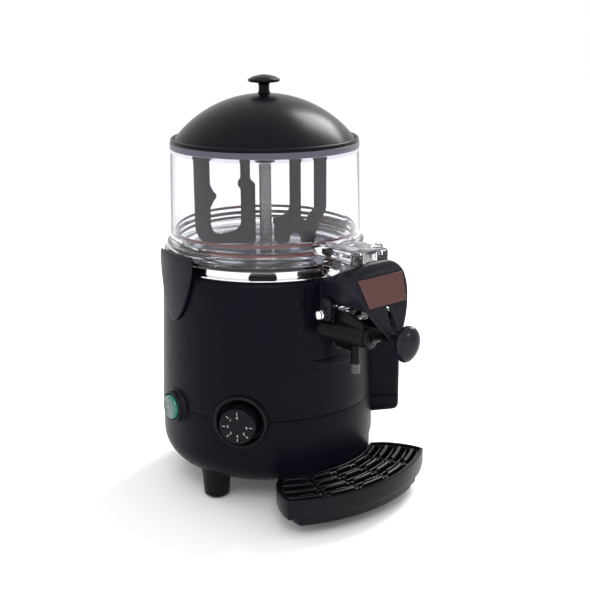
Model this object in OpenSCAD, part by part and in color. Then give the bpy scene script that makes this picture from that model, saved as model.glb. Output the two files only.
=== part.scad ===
// Heated sauce dispenser with a clear bowl, a stirring paddle and a lever tap.
// The floor is z = 0 and the tap faces -Y. Each module draws its piece round the bowl's axis,
// and placed() then puts the origin under the middle of the whole object.

/* [Body] */
// Radius of the casing at the seam between its two shells
body_r = 123; // [121:0.5:124]
// Radius of the casing just under its top shoulder
shoulder_r = 117.7; // [116:0.1:119]
// Thickness of the moulded casing
wall = 3; // [2.5:0.1:3.5]
// Height of the seam between the two shells
seam_z = 108; // [104:1:110]
// Height of the casing's top edge
body_top_z = 262; // [260:1:262]
// Height of the casing's flat underside
under_z = 28; // [27:0.5:29]
// Distance of each leg from the axis
leg_ring_r = 93; // [92:1:95]
// Direction of the two side legs, measured from the front
side_leg_angle = 80; // [76:1:84]
// Direction of the two back legs, measured from the front
back_leg_angle = 148; // [144:1:152]

/* [Bowl] */
// Height of the bowl's inner floor
bowl_floor_z = 274; // [274:0.1:274.5]
// Outer radius of the bowl's wall at its foot
bowl_foot_r = 108.4; // [107:0.1:109]
// Outer radius of the bowl at its rim
bowl_rim_r = 105.8; // [105:0.1:106.5]
// Height of the bowl's rim
bowl_rim_z = 397; // [396:0.5:397]
// Direction of the lifting handles, measured from the front
handle_angle = 99; // [94:1:104]

/* [Lid] */
// Radius of the lid's spherical dome
dome_r = 127.8; // [126:0.1:130]
// Height of the dome's crown
dome_top_z = 449; // [448:0.5:450]
// Radius of the lid's knob
knob_r = 18; // [15:0.5:20]

/* [Paddle] */
// Direction in which the paddle points at rest
paddle_angle = -40; // [-60:1:-20]
// Thickness of the paddle's blades
blade_t = 5; // [4:0.5:6]

/* [Tap] */
// Lean of the hood's shield from upright
shield_lean = 22.8; // [21:0.1:24]
// Distance of the valve from the axis
valve_y = 160; // [159:0.5:161]
// Distance of the lever's pin from the axis
pin_y = 138; // [137:0.5:139]
// Height of the lever's pin
pin_z = 232; // [231:0.5:233]
// Clear width of the slot for the lever
slot_w = 6; // [5.6:0.2:7]

/* [Controls] */
// Direction of the thermostat dial, measured from the front
dial_angle = -54; // [-58:1:-50]
// Radius of the thermostat dial
dial_r = 20.5; // [18:0.5:22]
// Direction of the power button, measured from the front
power_angle = -97; // [-100:1:-92]
// Radius of the power button
power_r = 13.6; // [12:0.1:13.8]
// Direction of the side box, measured from the front
box_angle = 61; // [58:1:66]
// Width of the side box
box_w = 84; // [76:1:90]
// Distance of the side box's outer face from the axis
box_r = 151; // [148:1:154]

/* [Drip tray] */
// Height of the tray's rim
tray_rim_z = 45; // [44:0.5:46]
// Height of the tray's lower edge
tray_low_z = 15; // [14:0.5:15.5]
// Radius of the tray's curved front
tray_front_r = 185; // [182:1:188]
// Half of the angle that the tray spans round the casing
tray_half_angle = 35; // [33:0.5:36]

/* [Hidden] */
$fn = 96;
centre_x = -6.3;
centre_y = 52;
leg_angles = [0, side_leg_angle, back_leg_angle, -back_leg_angle, -side_leg_angle];
catch_angles = [-42, -14, 14, 42, 160, 200];
slack = 0.3;
seam_gap = 0.4;
corner_r = 36;
corner_c = body_r - corner_r;
base_open_r = 66;
base_plate_r = 78;
base_plate_t = 2;
tube_r = 7;
shaft_r = 4;
tube_top_z = 374;
bar_z = [380, 392];
hub_z = [376.5, 393];
flange_r = 116;
flange_z = [273, 277.5];
block_half_w = 24;
block_back_y = 96;
block_front_y = valve_y + 13;
block_z = [269, 299];
chamber_r = 10;
chamber_z = 246;
vent_x = 14;
vent_y = valve_y + 3;
shield_y = 181;
shield_z = 275;
arm_z = 212.5;
arm_r = 11.5;
tray_c = -2;
tray_corner_r = 10;
control_z = seam_z;
gland_z = 80;

// ---- helpers ----

// Moves a piece from the bowl's axis to its place in the frame.
module placed() translate([centre_x, centre_y, 0]) children();

// Points along an arc round (cx, cy), from angle a0 to angle a1.
function arc(cx, cy, r, a0, a1, n = 12) =
  [for (i = [0:n]) [cx + r * cos(a0 + (a1 - a0) * i / n), cy + r * sin(a0 + (a1 - a0) * i / n)]];

// The same outline on both sides of the Z axis, from points given for x > 0 from the top down.
function both_sides(points) =
  concat(points, [for (i = [len(points) - 1:-1:0]) [-points[i][0], points[i][1]]]);

// Turns the front of a piece, -Y, towards +X by an angle.
module facing(angle) rotate([0, 0, angle]) children();

// A disc or rod along the facing direction, between two distances from the axis, turned about
// its own axis by an angle.
module radial_rod(r, from_y, to_y, z, turn = 60) {
  translate([0, -from_y, z]) rotate([90, turn, 0]) cylinder(r = r, h = to_y - from_y);
}

// A ring round the Z axis.
module ring(outer, inner, low, high) {
  difference() {
    translate([0, 0, low]) cylinder(r = outer, h = high - low);
    translate([0, 0, low - 1]) cylinder(r = inner, h = high - low + 2);
  }
}

// A ring round the facing direction.
module radial_ring(outer, inner, from_y, to_y, z) {
  difference() {
    radial_rod(outer, from_y, to_y, z);
    radial_rod(inner, from_y - 1, to_y + 1, z);
  }
}

// A flat rectangle with round corners, centred.
module round_rect(w, h, r) {
  square([w - 2 * r, h], center = true);
  square([w, h - 2 * r], center = true);
  for (x = [-1, 1], y = [-1, 1]) translate([x * (w / 2 - r), y * (h / 2 - r)]) circle(r = r);
}

// An outline drawn in x and z, made solid between two distances in front of the axis.
module front_slab(from_y, to_y) {
  translate([0, -from_y, 0]) rotate([90, 0, 0]) linear_extrude(to_y - from_y) children();
}

// The full outside of the casing, without its openings.
module body_solid() {
  rotate_extrude() polygon(concat(
    [[0, under_z]],
    arc(corner_c, under_z + corner_r, corner_r, -90, 0, 16),
    [[body_r, seam_z], [body_r, seam_z + seam_gap], [shoulder_r, body_top_z - 6]],
    [[shoulder_r, 300], [0, 300]]));
}

// A pan-head screw pointing along +Z, with its seat at z = 0.
module screw(head_r, head_h, shank_r, length) {
  translate([0, 0, -head_h]) cylinder(r = head_r, h = head_h);
  cylinder(r = shank_r, h = length);
}

// Openings in both shells for the controls, the drain tube, the wires and the cord gland.
module casing_openings() {
  facing(dial_angle) radial_rod(28.2, 100, 140, control_z);
  facing(power_angle) radial_rod(16.2, 100, 140, control_z);
  facing(box_angle) radial_rod(12, 100, 140, 130);
  facing(180) radial_rod(8.3, 100, 140, gland_z);
  radial_rod(7.3, 100, 140, 189);
}

// ---- casing ----

module lower_shell() {
  color([0.07, 0.07, 0.09]) difference() {
    rotate_extrude() polygon(concat(
      [[base_open_r, under_z]],
      arc(corner_c, under_z + corner_r, corner_r, -90, 0, 16),
      [[body_r, seam_z], [body_r - wall, seam_z]],
      arc(corner_c, under_z + corner_r, corner_r - wall, 0, -90, 16),
      [[base_open_r, under_z + wall]]));
    casing_openings();
    for (a = [45:90:315]) facing(a) translate([0, -72, 0]) cylinder(r = 2.1, h = 60);
  }
}

module upper_shell() {
  top = body_top_z;
  color([0.06, 0.06, 0.08]) difference() {
    rotate_extrude() polygon(concat(
      [[body_r, seam_z + seam_gap]],
      arc(shoulder_r - 6, top - 6, 6, 0, 90, 6),
      [[108.6, top], [108.6, top - wall], [shoulder_r - 6, top - wall]],
      [[shoulder_r - wall, top - 6], [body_r - wall - 0.1, seam_z + 6]],
      [[body_r - 5.4, seam_z + 5], [body_r - 5.4, seam_z - 4], [body_r - wall - slack, seam_z - 4]],
      [[body_r - wall - slack, seam_z + seam_gap]]));
    casing_openings();
  }
}

// The raised U-shaped bead that frames the tap on the front of the casing.
module front_panel() {
  module u_outline(half_w, low, r) {
    translate([-half_w, low + r]) square([2 * half_w, body_top_z - 6 - low - r]);
    translate([-half_w + r, low]) square([2 * (half_w - r), r + 1]);
    for (s = [-1, 1]) translate([s * (half_w - r), low + r]) circle(r = r);
  }
  color([0.07, 0.07, 0.09]) difference() {
    intersection() {
      front_slab(60, 140) difference() {
        u_outline(50, 163, 22);
        translate([0, 1]) u_outline(40, 173.5, 14);
      }
      translate([0, 0, 150]) cylinder(r1 = body_r - 0.1, r2 = shoulder_r + 0.5, h = 112);
    }
    body_solid();
  }
}

module base_plate() {
  color([0.55, 0.56, 0.58]) difference() {
    translate([0, 0, under_z - base_plate_t]) cylinder(r = base_plate_r, h = base_plate_t);
    for (a = [45:90:315]) facing(a) translate([0, -72, 0]) cylinder(r = 2.1, h = 60);
    for (x = [-1, 1], y = [-1, 1]) translate([x * 47, y * 14, 0]) cylinder(r = 2.1, h = 60);
    for (x = [-30:12:30]) translate([x, 50, 0]) rotate([0, 0, 90]) linear_extrude(60) round_rect(18, 4, 1.9);
    for (x = [-30:12:30]) translate([x, -50, 0]) rotate([0, 0, 90]) linear_extrude(60) round_rect(18, 4, 1.9);
  }
}

module base_screws() {
  color("silver") for (a = [45:90:315]) facing(a)
    translate([0, -72, under_z - base_plate_t]) screw(3.8, 2.2, 2, 9);
}

module legs() {
  color([0.05, 0.05, 0.06]) difference() {
    for (a = leg_angles) facing(a) translate([0, -leg_ring_r, 0]) rotate_extrude()
      polygon(concat([[0, 3]], arc(9.5, 6, 3, -90, -5, 4), [[14.6, 46], [0, 46]]));
    body_solid();
    for (a = leg_angles) facing(a) translate([0, -leg_ring_r, -1]) cylinder(r = 3.5, h = 6);
  }
}

module leg_pads() {
  color([0.12, 0.12, 0.12]) for (a = leg_angles) facing(a) translate([0, -leg_ring_r, 0]) {
    cylinder(r = 8.8, h = 3);
    translate([0, 0, 3]) cylinder(r = 3.4, h = 2);
  }
}

// ---- heating and drive ----

module water_tank() {
  color([0.75, 0.76, 0.78]) difference() {
    rotate_extrude() polygon([
      [10, 193], [98, 193], [105, 201], [105, 253], [108.2, 255.5], [108.2, 262.2], [112.5, 262.2],
      [112.5, 263.4], [108.2, 263.4], [108.2, 272], [106.6, 272], [106.6, 256.5], [103.4, 254],
      [103.4, 202], [97, 195], [12, 195], [12, 266], [10, 266]]);
    radial_rod(5, 80, 112, 204);
  }
}

module tank_gasket() {
  color([0.7, 0.7, 0.68]) ring(109, 105.2, 272, flange_z[0]);
}

module heater_ring() {
  color([0.45, 0.3, 0.25]) {
    ring(76, 68, 187, 193);
    ring(56, 48, 187, 193);
    for (x = [-10, 10]) translate([x - 3, 47, 187]) cube([6, 22, 5]);
  }
}

module bowl_catches() {
  color([0.04, 0.04, 0.05]) for (a = catch_angles) facing(a) intersection() {
    front_slab(100, 130) translate([0, 267.4]) round_rect(30, 8, 2.5);
    ring(115, 108.5, 263.6, 271.4);
  }
}

module gear_motor() {
  color([0.4, 0.42, 0.45]) {
    difference() {
      translate([-34, -22, 132]) cube([68, 52, 35.5]);
      for (x = [-1, 1], y = [-1, 1]) translate([x * 28, y * 16, 158]) cylinder(r = 2.05, h = 12);
    }
    translate([0, 6, 72]) cylinder(r = 27, h = 60);
    translate([0, 6, 64]) cylinder(r = 9, h = 8);
    difference() {
      translate([0, 0, 167.5]) cylinder(r = 10.5, h = 6);
      translate([0, 0, 167]) cylinder(r = 6, h = 9);
    }
  }
}

module motor_bracket() {
  color([0.7, 0.7, 0.72]) difference() {
    translate([0, 27, 0]) rotate([90, 0, 0]) linear_extrude(54) polygon(both_sides([
      [0, 170], [52, 170], [52, 30.5], [38, 30.5], [38, under_z], [54.5, under_z], [54.5, 172.5], [0, 172.5]]));
    translate([0, 0, 160]) cylinder(r = 12, h = 20);
    for (x = [-1, 1], y = [-1, 1]) {
      translate([x * 47, y * 14, 0]) cylinder(r = 2.1, h = 60);
      translate([x * 28, y * 16, 150]) cylinder(r = 2.1, h = 60);
    }
  }
}

module motor_screws() {
  color("silver") for (x = [-1, 1], y = [-1, 1]) {
    translate([x * 47, y * 14, under_z - base_plate_t]) screw(3.8, 2, 2, 10);
    translate([x * 28, y * 16, 172.5]) mirror([0, 0, 1]) screw(3.8, 2.2, 2, 12);
  }
}

module shaft_bush() {
  color([0.85, 0.83, 0.75]) ring(9.95, shaft_r + 0.05, 194, 206);
}

module drive_shaft() {
  color([0.8, 0.8, 0.82]) {
    translate([0, 0, 168]) cylinder(r = shaft_r, h = 212);
    translate([0, 0, 380]) cylinder(r = shaft_r, h = 12, $fn = 6);
    translate([0, 0, 168]) cylinder(r = 5.4, h = 14);
  }
}

// ---- controls ----

module thermostat_body() {
  color([0.85, 0.8, 0.7]) facing(dial_angle) difference() {
    union() {
      front_slab(84, 111.4) translate([0, control_z]) round_rect(38, 34, 4);
      front_slab(78, 84) translate([0, control_z]) round_rect(26, 20, 3);
    }
    radial_rod(3.3, 96, 113, control_z);
  }
}

// A collar that stands on the casing's curve, with a cup that goes through its opening.
module collar(cup_profile, outer, inner, front_y, angle) {
  difference() {
    facing(angle) radial_ring(outer, inner, 112, front_y, control_z);
    body_solid();
  }
  facing(angle) translate([0, 0, control_z]) rotate([90, 60, 0]) rotate_extrude() polygon(cup_profile);
}

module dial_bezel() {
  color([0.05, 0.05, 0.06]) collar(
    [[4, 111.6], [27.9, 111.6], [27.9, 126.2], [25.5, 126.2], [25.5, 114.5], [4, 114.5]],
    30, 26.6, 127, dial_angle);
}

module thermostat_dial() {
  color([0.05, 0.05, 0.06]) facing(dial_angle) {
    translate([0, -115.5, control_z]) rotate([90, 0, 0]) rotate_extrude()
      polygon(concat([[0, 0], [dial_r, 0]], arc(dial_r - 2.4, 22.5, 2, 0, 90, 4), [[0, 24.5]]));
    radial_rod(3, 98, 117, control_z);
  }
}

module switch_bezel() {
  color([0.04, 0.04, 0.05]) collar(
    [[power_r + 0.4, 111.6], [15.9, 111.6], [15.9, 128.8], [power_r + 0.4, 128.8]],
    18.5, 15, 129.5, power_angle);
}

module switch_body() {
  color([0.2, 0.2, 0.2]) facing(power_angle) {
    radial_rod(15.5, 88, 109, control_z);
    for (x = [-6, 6]) translate([x - 0.4, -88, control_z - 3]) cube([0.8, 9, 6]);
  }
}

module power_button() {
  color([0.3, 0.8, 0.65]) facing(power_angle)
    translate([0, -113, control_z]) rotate([90, 0, 0]) rotate_extrude()
      polygon(concat([[0, 0], [power_r, 0]], arc(power_r - 2, 21.5, 2, 0, 90, 4), [[0, 23.5]]));
}

// The whole side box: a rounded block that meets the casing's curve.
module box_block(low, high) {
  difference() {
    facing(box_angle) translate([0, -(box_r + 90) / 2, low]) linear_extrude(high - low)
      round_rect(box_w, box_r - 90, 8);
    body_solid();
    facing(box_angle) translate([-box_w, -105, low - 1]) cube([2 * box_w, 120, high - low + 2]);
  }
}

module side_box() {
  color([0.06, 0.06, 0.08]) difference() {
    box_block(97.4, 176);
    facing(box_angle) {
      translate([0, -(box_r + 90) / 2, 90]) linear_extrude(82.5) round_rect(box_w - 6, box_r - 96, 6);
      front_slab(140, 160) translate([-18, 112]) square([13.6, 23], center = true);
    }
  }
}

module side_box_cover() {
  color([0.06, 0.06, 0.08]) difference() {
    union() {
      box_block(77, 97);
      intersection() {
        box_block(96, 103);
        facing(box_angle) translate([0, -(box_r + 90) / 2, 90]) linear_extrude(20)
          round_rect(box_w - 7, box_r - 97, 5.5);
      }
    }
    facing(box_angle) {
      translate([0, -(box_r + 90) / 2, 80]) linear_extrude(40) round_rect(box_w - 12, box_r - 102, 5);
      for (x = [-1, 1]) translate([x * 30, -134, 70]) cylinder(r = 1.9, h = 20);
    }
  }
}

module side_box_screws() {
  color("silver") facing(box_angle) for (x = [-1, 1])
    translate([x * 30, -134, 77]) screw(3.2, 1.8, 1.7, 12);
}

module rocker_frame() {
  color([0.03, 0.03, 0.03]) facing(box_angle) front_slab(box_r, box_r + 1.6) translate([-18, 112])
    difference() {
      round_rect(19, 28, 2);
      square([13.6, 23], center = true);
    }
}

module mixer_rocker() {
  color([0.05, 0.05, 0.05]) facing(box_angle) translate([-11.8, -box_r, 112])
    rotate([0, -90, 0]) difference() {
      linear_extrude(12.4) polygon([
        [-10.8, -1.2], [0, -2.6], [10.8, -4.4], [10.2, 0], [7, 7], [-7, 7], [-10.2, 0]]);
      translate([0, 0, -1]) cylinder(r = 1.1, h = 15);
    }
}

module terminal_block() {
  color([0.9, 0.9, 0.85]) difference() {
    translate([-26, 26, under_z + 0.2]) cube([52, 18, 15]);
    for (x = [-20:10:20]) translate([x, 35, 35]) cylinder(r = 2.6, h = 20);
  }
}

module cord_gland() {
  color([0.05, 0.05, 0.05]) facing(180) difference() {
    union() {
      radial_rod(8, 112, 125, gland_z);
      radial_rod(11.5, 125, 131, gland_z);
      radial_rod(11.5, 113, 118, gland_z);
    }
    radial_rod(3.8, 110, 140, gland_z);
  }
}

// Water outlet of the tank: a spigot, a short tube through the casing and a downward nozzle.
module drain_tube() {
  color([0.35, 0.35, 0.36]) difference() {
    union() {
      radial_rod(4.9, 97, 114, 204, 0);
      translate([0, -110.8, 182.5]) cylinder(r = 5.4, h = 27);
      radial_rod(7, 110.8, 147, 189, 0);
      translate([0, -147, 171.3]) cylinder(r = 7, h = 24.5);
    }
    radial_rod(3.2, 96, 111, 204, 0);
    translate([0, -110.8, 185]) cylinder(r = 3.4, h = 21);
    radial_rod(4, 109, 148, 189, 0);
    translate([0, -147, 160]) cylinder(r = 4.2, h = 31);
  }
}

module drain_plug() {
  color([0.6, 0.6, 0.6]) {
    translate([0, -147, 171]) cylinder(r = 4.15, h = 10);
    translate([0, -147, 160]) cylinder(r = 7, h = 11);
  }
}

// ---- drip tray ----

// The wedge between two directions, the same angle to each side of the front.
module wedge(half_angle, inset = 0) {
  a = half_angle;
  polygon([for (p = [[0, 0], [260 * sin(a), -260 * cos(a)], [-260 * sin(a), -260 * cos(a)]])
    [p[0], p[1] - inset / sin(a)]]);
}

// Plan of the tray: a wedge round the casing, cut off by a shallower curve with cut corners.
module tray_plan(inset = 0) {
  a = tray_half_angle;
  k = tray_corner_r / sin(a) + tray_c;
  reach = sqrt(pow(tray_front_r - tray_corner_r, 2) - pow(k * sin(a), 2)) - k * cos(a);
  centre = [reach * sin(a), -tray_corner_r / sin(a) - reach * cos(a)];
  side_way = [cos(a), sin(a)];
  front_way = (centre - [0, tray_c]) / norm(centre - [0, tray_c]);
  r = tray_corner_r - inset;
  difference() {
    intersection() {
      translate([0, tray_c]) circle(r = tray_front_r - inset);
      wedge(a, inset);
    }
    circle(r = body_r + 0.6 + inset);
    if (r > 0) for (m = [0, 1]) mirror([m, 0])
      polygon([centre + r * side_way, centre + 2 * r * (side_way + front_way), centre + r * front_way]);
  }
}

// Plan of the carrier behind the tray, from a radius out to the tray's back.
module apron_plan(inner) {
  intersection() {
    difference() {
      circle(r = body_r - 0.4);
      circle(r = inner);
    }
    wedge(tray_half_angle - 1);
  }
}

// Carrier under the casing: a plate round the front leg, an apron behind the tray and two prongs.
module tray_bracket() {
  color([0.05, 0.05, 0.06]) {
    difference() {
      union() {
        translate([0, 0, 24]) linear_extrude(4.5) difference() {
          apron_plan(base_plate_r + 2);
          translate([0, -leg_ring_r]) circle(r = 15.6);
        }
        translate([0, 0, 24]) linear_extrude(36) apron_plan(body_r - 4.6);
      }
      body_solid();
    }
    for (s = [-1, 1]) {
      translate([s * 30 - 6, -162, 15.2]) cube([12, 78, 3.4]);
      translate([s * 30 - 6, -112, 15.2]) cube([12, 28, 10]);
    }
  }
}

module drip_tray() {
  floor_z = tray_low_z + 3.9;
  color([0.06, 0.06, 0.07]) difference() {
    union() {
      translate([0, 0, tray_low_z + 9]) linear_extrude(tray_rim_z - tray_low_z - 9) tray_plan();
      translate([0, 0, tray_low_z]) linear_extrude(9.5) tray_plan(1.6);
    }
    translate([0, 0, floor_z + 2.5]) linear_extrude(40) tray_plan(5);
    translate([0, 0, tray_rim_z - 6.5]) linear_extrude(40) tray_plan(3);
    translate([0, 0, tray_low_z - 1]) linear_extrude(4.9) tray_plan(4.5);
    for (s = [-1, 1]) translate([s * 30 - 8, -150, tray_low_z - 1]) cube([16, 60, 4.9]);
  }
}

// Bars of the grid that run parallel to the tray's curved front.
module grid_bars(bar, first) {
  for (r = [first:15.3:173]) translate([0, tray_c]) difference() {
    circle(r = r + bar / 2);
    circle(r = r - bar / 2);
  }
}

// Straight ribs across the bars.
module grid_ribs(rib) {
  for (k = [-2.5:2.5]) translate([0, tray_c]) rotate(k * 13.4)
    translate([-rib / 2, -181]) square([rib, 55.2]);
}

module drip_grid() {
  translate([0, 0, tray_rim_z - 6.3]) color([0.05, 0.05, 0.06]) {
    linear_extrude(5.6) intersection() {
      tray_plan(3.4);
      difference() {
        grid_bars(3.6, 127);
        grid_ribs(8);
      }
    }
    linear_extrude(3.4) {
      intersection() {
        tray_plan(3.4);
        union() {
          grid_bars(4.4, 127);
          grid_bars(2.4, 134.65);
          grid_ribs(3.2);
        }
      }
      difference() {
        tray_plan(3.4);
        tray_plan(8);
      }
    }
  }
}

// ---- bowl ----

module bowl() {
  z = bowl_floor_z;
  color([0.85, 0.88, 0.9, 0.35]) difference() {
    union() {
      rotate_extrude() polygon([
        [0, z - 3], [103.2, z - 3], [103.2, flange_z[0]], [flange_r, flange_z[0]],
        [flange_r, flange_z[1]], [113, 279.5], [112.2, 287], [109.6, 291], [bowl_foot_r, 292.5],
        [bowl_rim_r, 386], [bowl_rim_r, bowl_rim_z], [101.2, bowl_rim_z], [101.2, 386],
        [bowl_rim_r - 3.4, 382], [104.6, 297], [102.5, 284], [97, z + 2], [92, z], [0, z]]);
      difference() {
        union() {
          translate([0, -(block_front_y + block_back_y) / 2, block_z[0]])
            linear_extrude(block_z[1] - block_z[0])
              round_rect(2 * block_half_w, block_front_y - block_back_y, 6);
          translate([0, -valve_y, chamber_z]) cylinder(r = chamber_r + 2.5, h = 30);
        }
        cylinder(r = 106, h = 400);
        ring(flange_r + 5, 100, 260, flange_z[0]);
      }
    }
    translate([0, 0, z - 10]) cylinder(r = tube_r + 0.05, h = 30);
    translate([0, -valve_y, chamber_z - 1]) cylinder(r = chamber_r, h = 51);
    translate([-8, -valve_y, z + 1]) cube([16, valve_y - 88, 11]);
    translate([vent_x, -vent_y, 292]) cylinder(r = 3.6, h = 20);
    for (s = [-1, 1], t = [-9, 9]) facing(s * handle_angle + t)
      translate([0, -flange_r + 2.6, 270]) cylinder(r = 1.3, h = 7);
  }
}

module centre_tube() {
  color([0.8, 0.8, 0.82]) {
    ring(tube_r, 5.5, 267.6, tube_top_z);
    ring(11, tube_r - 0.2, bowl_floor_z, bowl_floor_z + 1.6);
  }
}

module tube_nut() {
  color("silver") difference() {
    translate([0, 0, 267.6]) cylinder(r = 11.8, h = 3.4, $fn = 6);
    translate([0, 0, 260]) cylinder(r = tube_r + 0.05, h = 20);
  }
}

module tube_bush() {
  color([0.9, 0.88, 0.8]) ring(5.45, shaft_r + 0.05, tube_top_z - 16, tube_top_z - 1);
}

module vent_cap() {
  color([0.85, 0.88, 0.9, 0.5]) translate([vent_x, -vent_y, 0]) {
    translate([0, 0, block_z[1]]) cylinder(r = 6.8, h = 3.4);
    translate([0, 0, block_z[1] + 3]) cylinder(r = 5.2, h = 2);
    translate([0, 0, 292.2]) cylinder(r = 3.5, h = 8);
  }
}

// A tongue-shaped lifting handle that hooks over the bowl's flange.
module handle(angle) {
  outline = both_sides(concat(
    [[0, 284], [34, 284], [38, 280], [38, 268], [33.5, 246], [26, 228]], arc(0, 222.5, 15.5, -20, -80, 5)));
  color([0.05, 0.05, 0.06]) intersection() {
    facing(angle) front_slab(60, 140) polygon(outline);
    rotate_extrude() polygon([
      [120.6, 200], [127.2, 200], [128.2, 270], [127.6, 280], [125, 282.6], [113.2, 282.6],
      [113.2, flange_z[1] + 2.1], [flange_r + 0.3, flange_z[1]], [flange_r + 0.3, 274], [120.6, 270]]);
  }
}

module handle_left() handle(-handle_angle);

module handle_right() handle(handle_angle);

module handle_screws() {
  color("silver") for (s = [-1, 1], t = [-9, 9]) facing(s * handle_angle + t)
    translate([0, -flange_r + 2.6, flange_z[0]]) screw(2.6, 0.8, 1.2, 3.8);
}

// ---- tap ----

// Front view of the hood: a domed top and sides that taper to a narrow tip.
function hood_outline(d) = both_sides(concat(
  [for (p = arc(0, 246.5, 43.5 - d, 90, 50, 8)) [p[0] * 1.2, p[1]]],
  [[37.5 - d, 274], [37 - d, 264], [32.5 - d, 249], [24 - d, 233], [13.5 - d, 220], [9.5 - d * 0.6, 214 + d]]));

// Everything in front of the hood's leaning shield, moved back by a distance.
module beyond_shield(back = 0) {
  translate([0, -shield_y + back, shield_z]) rotate([-shield_lean, 0, 0])
    translate([-100, -100, -150]) cube([200, 100, 300]);
}

module tap_hood() {
  color([0.05, 0.05, 0.07]) difference() {
    front_slab(100, 220) polygon(hood_outline(0));
    beyond_shield();
    difference() {
      front_slab(90, 230) polygon(hood_outline(3.2));
      beyond_shield(3.4);
    }
    translate([0, 0, 200]) cylinder(r = 120.8, h = 100);
    difference() {
      translate([-60, -230, 200]) cube([120, 130, 43]);
      beyond_shield(3.4);
    }
    translate([-slot_w / 2, -230, 200]) cube([slot_w, 60, 43]);
    translate([-block_half_w - 0.4, -block_front_y - 0.4, 268.5]) cube([2 * block_half_w + 0.8, 90, 40]);
    for (s = [-1, 1]) translate([s * 42, -pin_y, pin_z]) rotate([0, s * 90, 0]) cylinder(r = 8, h = 20);
  }
  color([0.05, 0.05, 0.07]) for (s = [-1, 1]) hood_ear(s);
}

// A web inside the hood that carries one end of the lever's pin.
module hood_ear(s) {
  difference() {
    translate([s * 34.3 - 2, -pin_y - 9, pin_z - 6.8]) cube([4, 18, 31.8]);
    translate([s * 34.3 - 5, -pin_y, pin_z]) rotate([0, 90, 0]) cylinder(r = 4.05, h = 10);
  }
}

module label_plate() {
  color([0.42, 0.28, 0.26]) difference() {
    intersection() {
      front_slab(120, 240) polygon([[-33, 274.5], [33, 274.5], [27, 246], [-27, 246]]);
      beyond_shield();
    }
    beyond_shield(-1.8);
  }
}

module tap_pin() {
  color([0.8, 0.8, 0.82]) {
    translate([-47, -pin_y, pin_z]) rotate([0, 90, 0]) cylinder(r = 4, h = 87);
    translate([-48, -pin_y, pin_z]) rotate([0, 90, 0]) cylinder(r = 5, h = 10.5);
    translate([37, -pin_y, pin_z]) rotate([0, 90, 0]) cylinder(r = 5.4, h = 2.6);
  }
}

// Two thick arms that hang from the pin and close in towards the knob.
module lever_yoke() {
  rear = [29, -126];
  front = [17.5, -190];
  run = norm(front - rear);
  turn = atan2(rear[0] - front[0], rear[1] - front[1]);
  color([0.05, 0.05, 0.06]) difference() {
    union() {
      for (s = [-1, 1]) mirror([s > 0 ? 0 : 1, 0, 0]) {
        translate([rear[0], rear[1], arm_z]) rotate([90, 0, 0]) rotate([0, -turn, 0]) {
          cylinder(r = arm_r, h = run - 5.5);
          translate([0, 0, run - 5.5]) cylinder(r = arm_r - 1.2, h = 1.5);
          translate([0, 0, run - 4]) cylinder(r = arm_r, h = 4);
        }
        translate([21, -pin_y, pin_z]) rotate([0, 90, 0]) cylinder(r = 8, h = 10.8);
        translate([21, -pin_y - 8, arm_z]) cube([10.8, 16, pin_z - arm_z]);
      }
      translate([-20, -184, arm_z]) rotate([0, 90, 0]) cylinder(r = 7.5, h = 40);
      translate([-2.2, -216, arm_z - 9]) cube([4.4, 32, 14]);
    }
    for (s = [-1, 1]) translate([s * 26.4 - 8, -pin_y, pin_z]) rotate([0, 90, 0]) cylinder(r = 4.06, h = 16);
  }
}

module lever_knob() {
  h = 41;
  r = 13;
  color([0.09, 0.09, 0.11]) difference() {
    translate([0, -221, 210]) rotate([13, 0, 0]) rotate_extrude()
      polygon([for (i = [0:24]) let (t = -90 + i * 7.5)
        [max(0, r * cos(t) * (1 + 0.10 * sin(t))), h / 2 * sin(t)]]);
    translate([-2.2, -216, arm_z - 9]) cube([4.4, 32, 14]);
  }
}

// Spool that shuts the bowl's outlet channel, with a rod down to the lever.
module valve_piston() {
  color([0.9, 0.9, 0.88]) translate([0, -valve_y, 0]) difference() {
    union() {
      translate([0, 0, 271]) cylinder(r = chamber_r - 0.35, h = 15.5);
      translate([0, 0, 224.3]) cylinder(r = 3.6, h = 47);
      intersection() {
        translate([0, 0, 248]) cylinder(r = chamber_r - 0.35, h = 9);
        for (a = [0, 90]) rotate([0, 0, a]) translate([-15, -2, 248]) cube([30, 4, 9]);
      }
    }
    for (z = [274, 282]) ring(chamber_r + 1, chamber_r - 2, z, z + 2);
    translate([-10, 0, 227.2]) rotate([0, 90, 0]) cylinder(r = 2.5, h = 20);
  }
}

module piston_rings() {
  color([0.15, 0.15, 0.15]) translate([0, -valve_y, 0])
    for (z = [274, 282]) ring(chamber_r - 0.05, chamber_r - 1.9, z + 0.1, z + 1.9);
}

module piston_pin() {
  color("silver") translate([-25, -valve_y, 227.2]) rotate([0, 90, 0]) cylinder(r = 2.45, h = 50);
}

// ---- lid ----

module lid() {
  c = dome_top_z - dome_r;
  rim = 105.2;
  color([0.05, 0.05, 0.06]) difference() {
    rotate_extrude() polygon(concat(
      [[101, bowl_rim_z], [rim, bowl_rim_z], [rim, bowl_rim_z + 3.4], [rim - 1.2, bowl_rim_z + 4.4]],
      arc(0, c, dome_r, 39.4, 90, 20),
      arc(0, c, dome_r - 2.8, 90, 40, 20),
      [[97.6, 393.6], [100.6, 393.6]]));
    translate([0, 0, dome_top_z - 10]) cylinder(r = 2.2, h = 20);
  }
}

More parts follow.
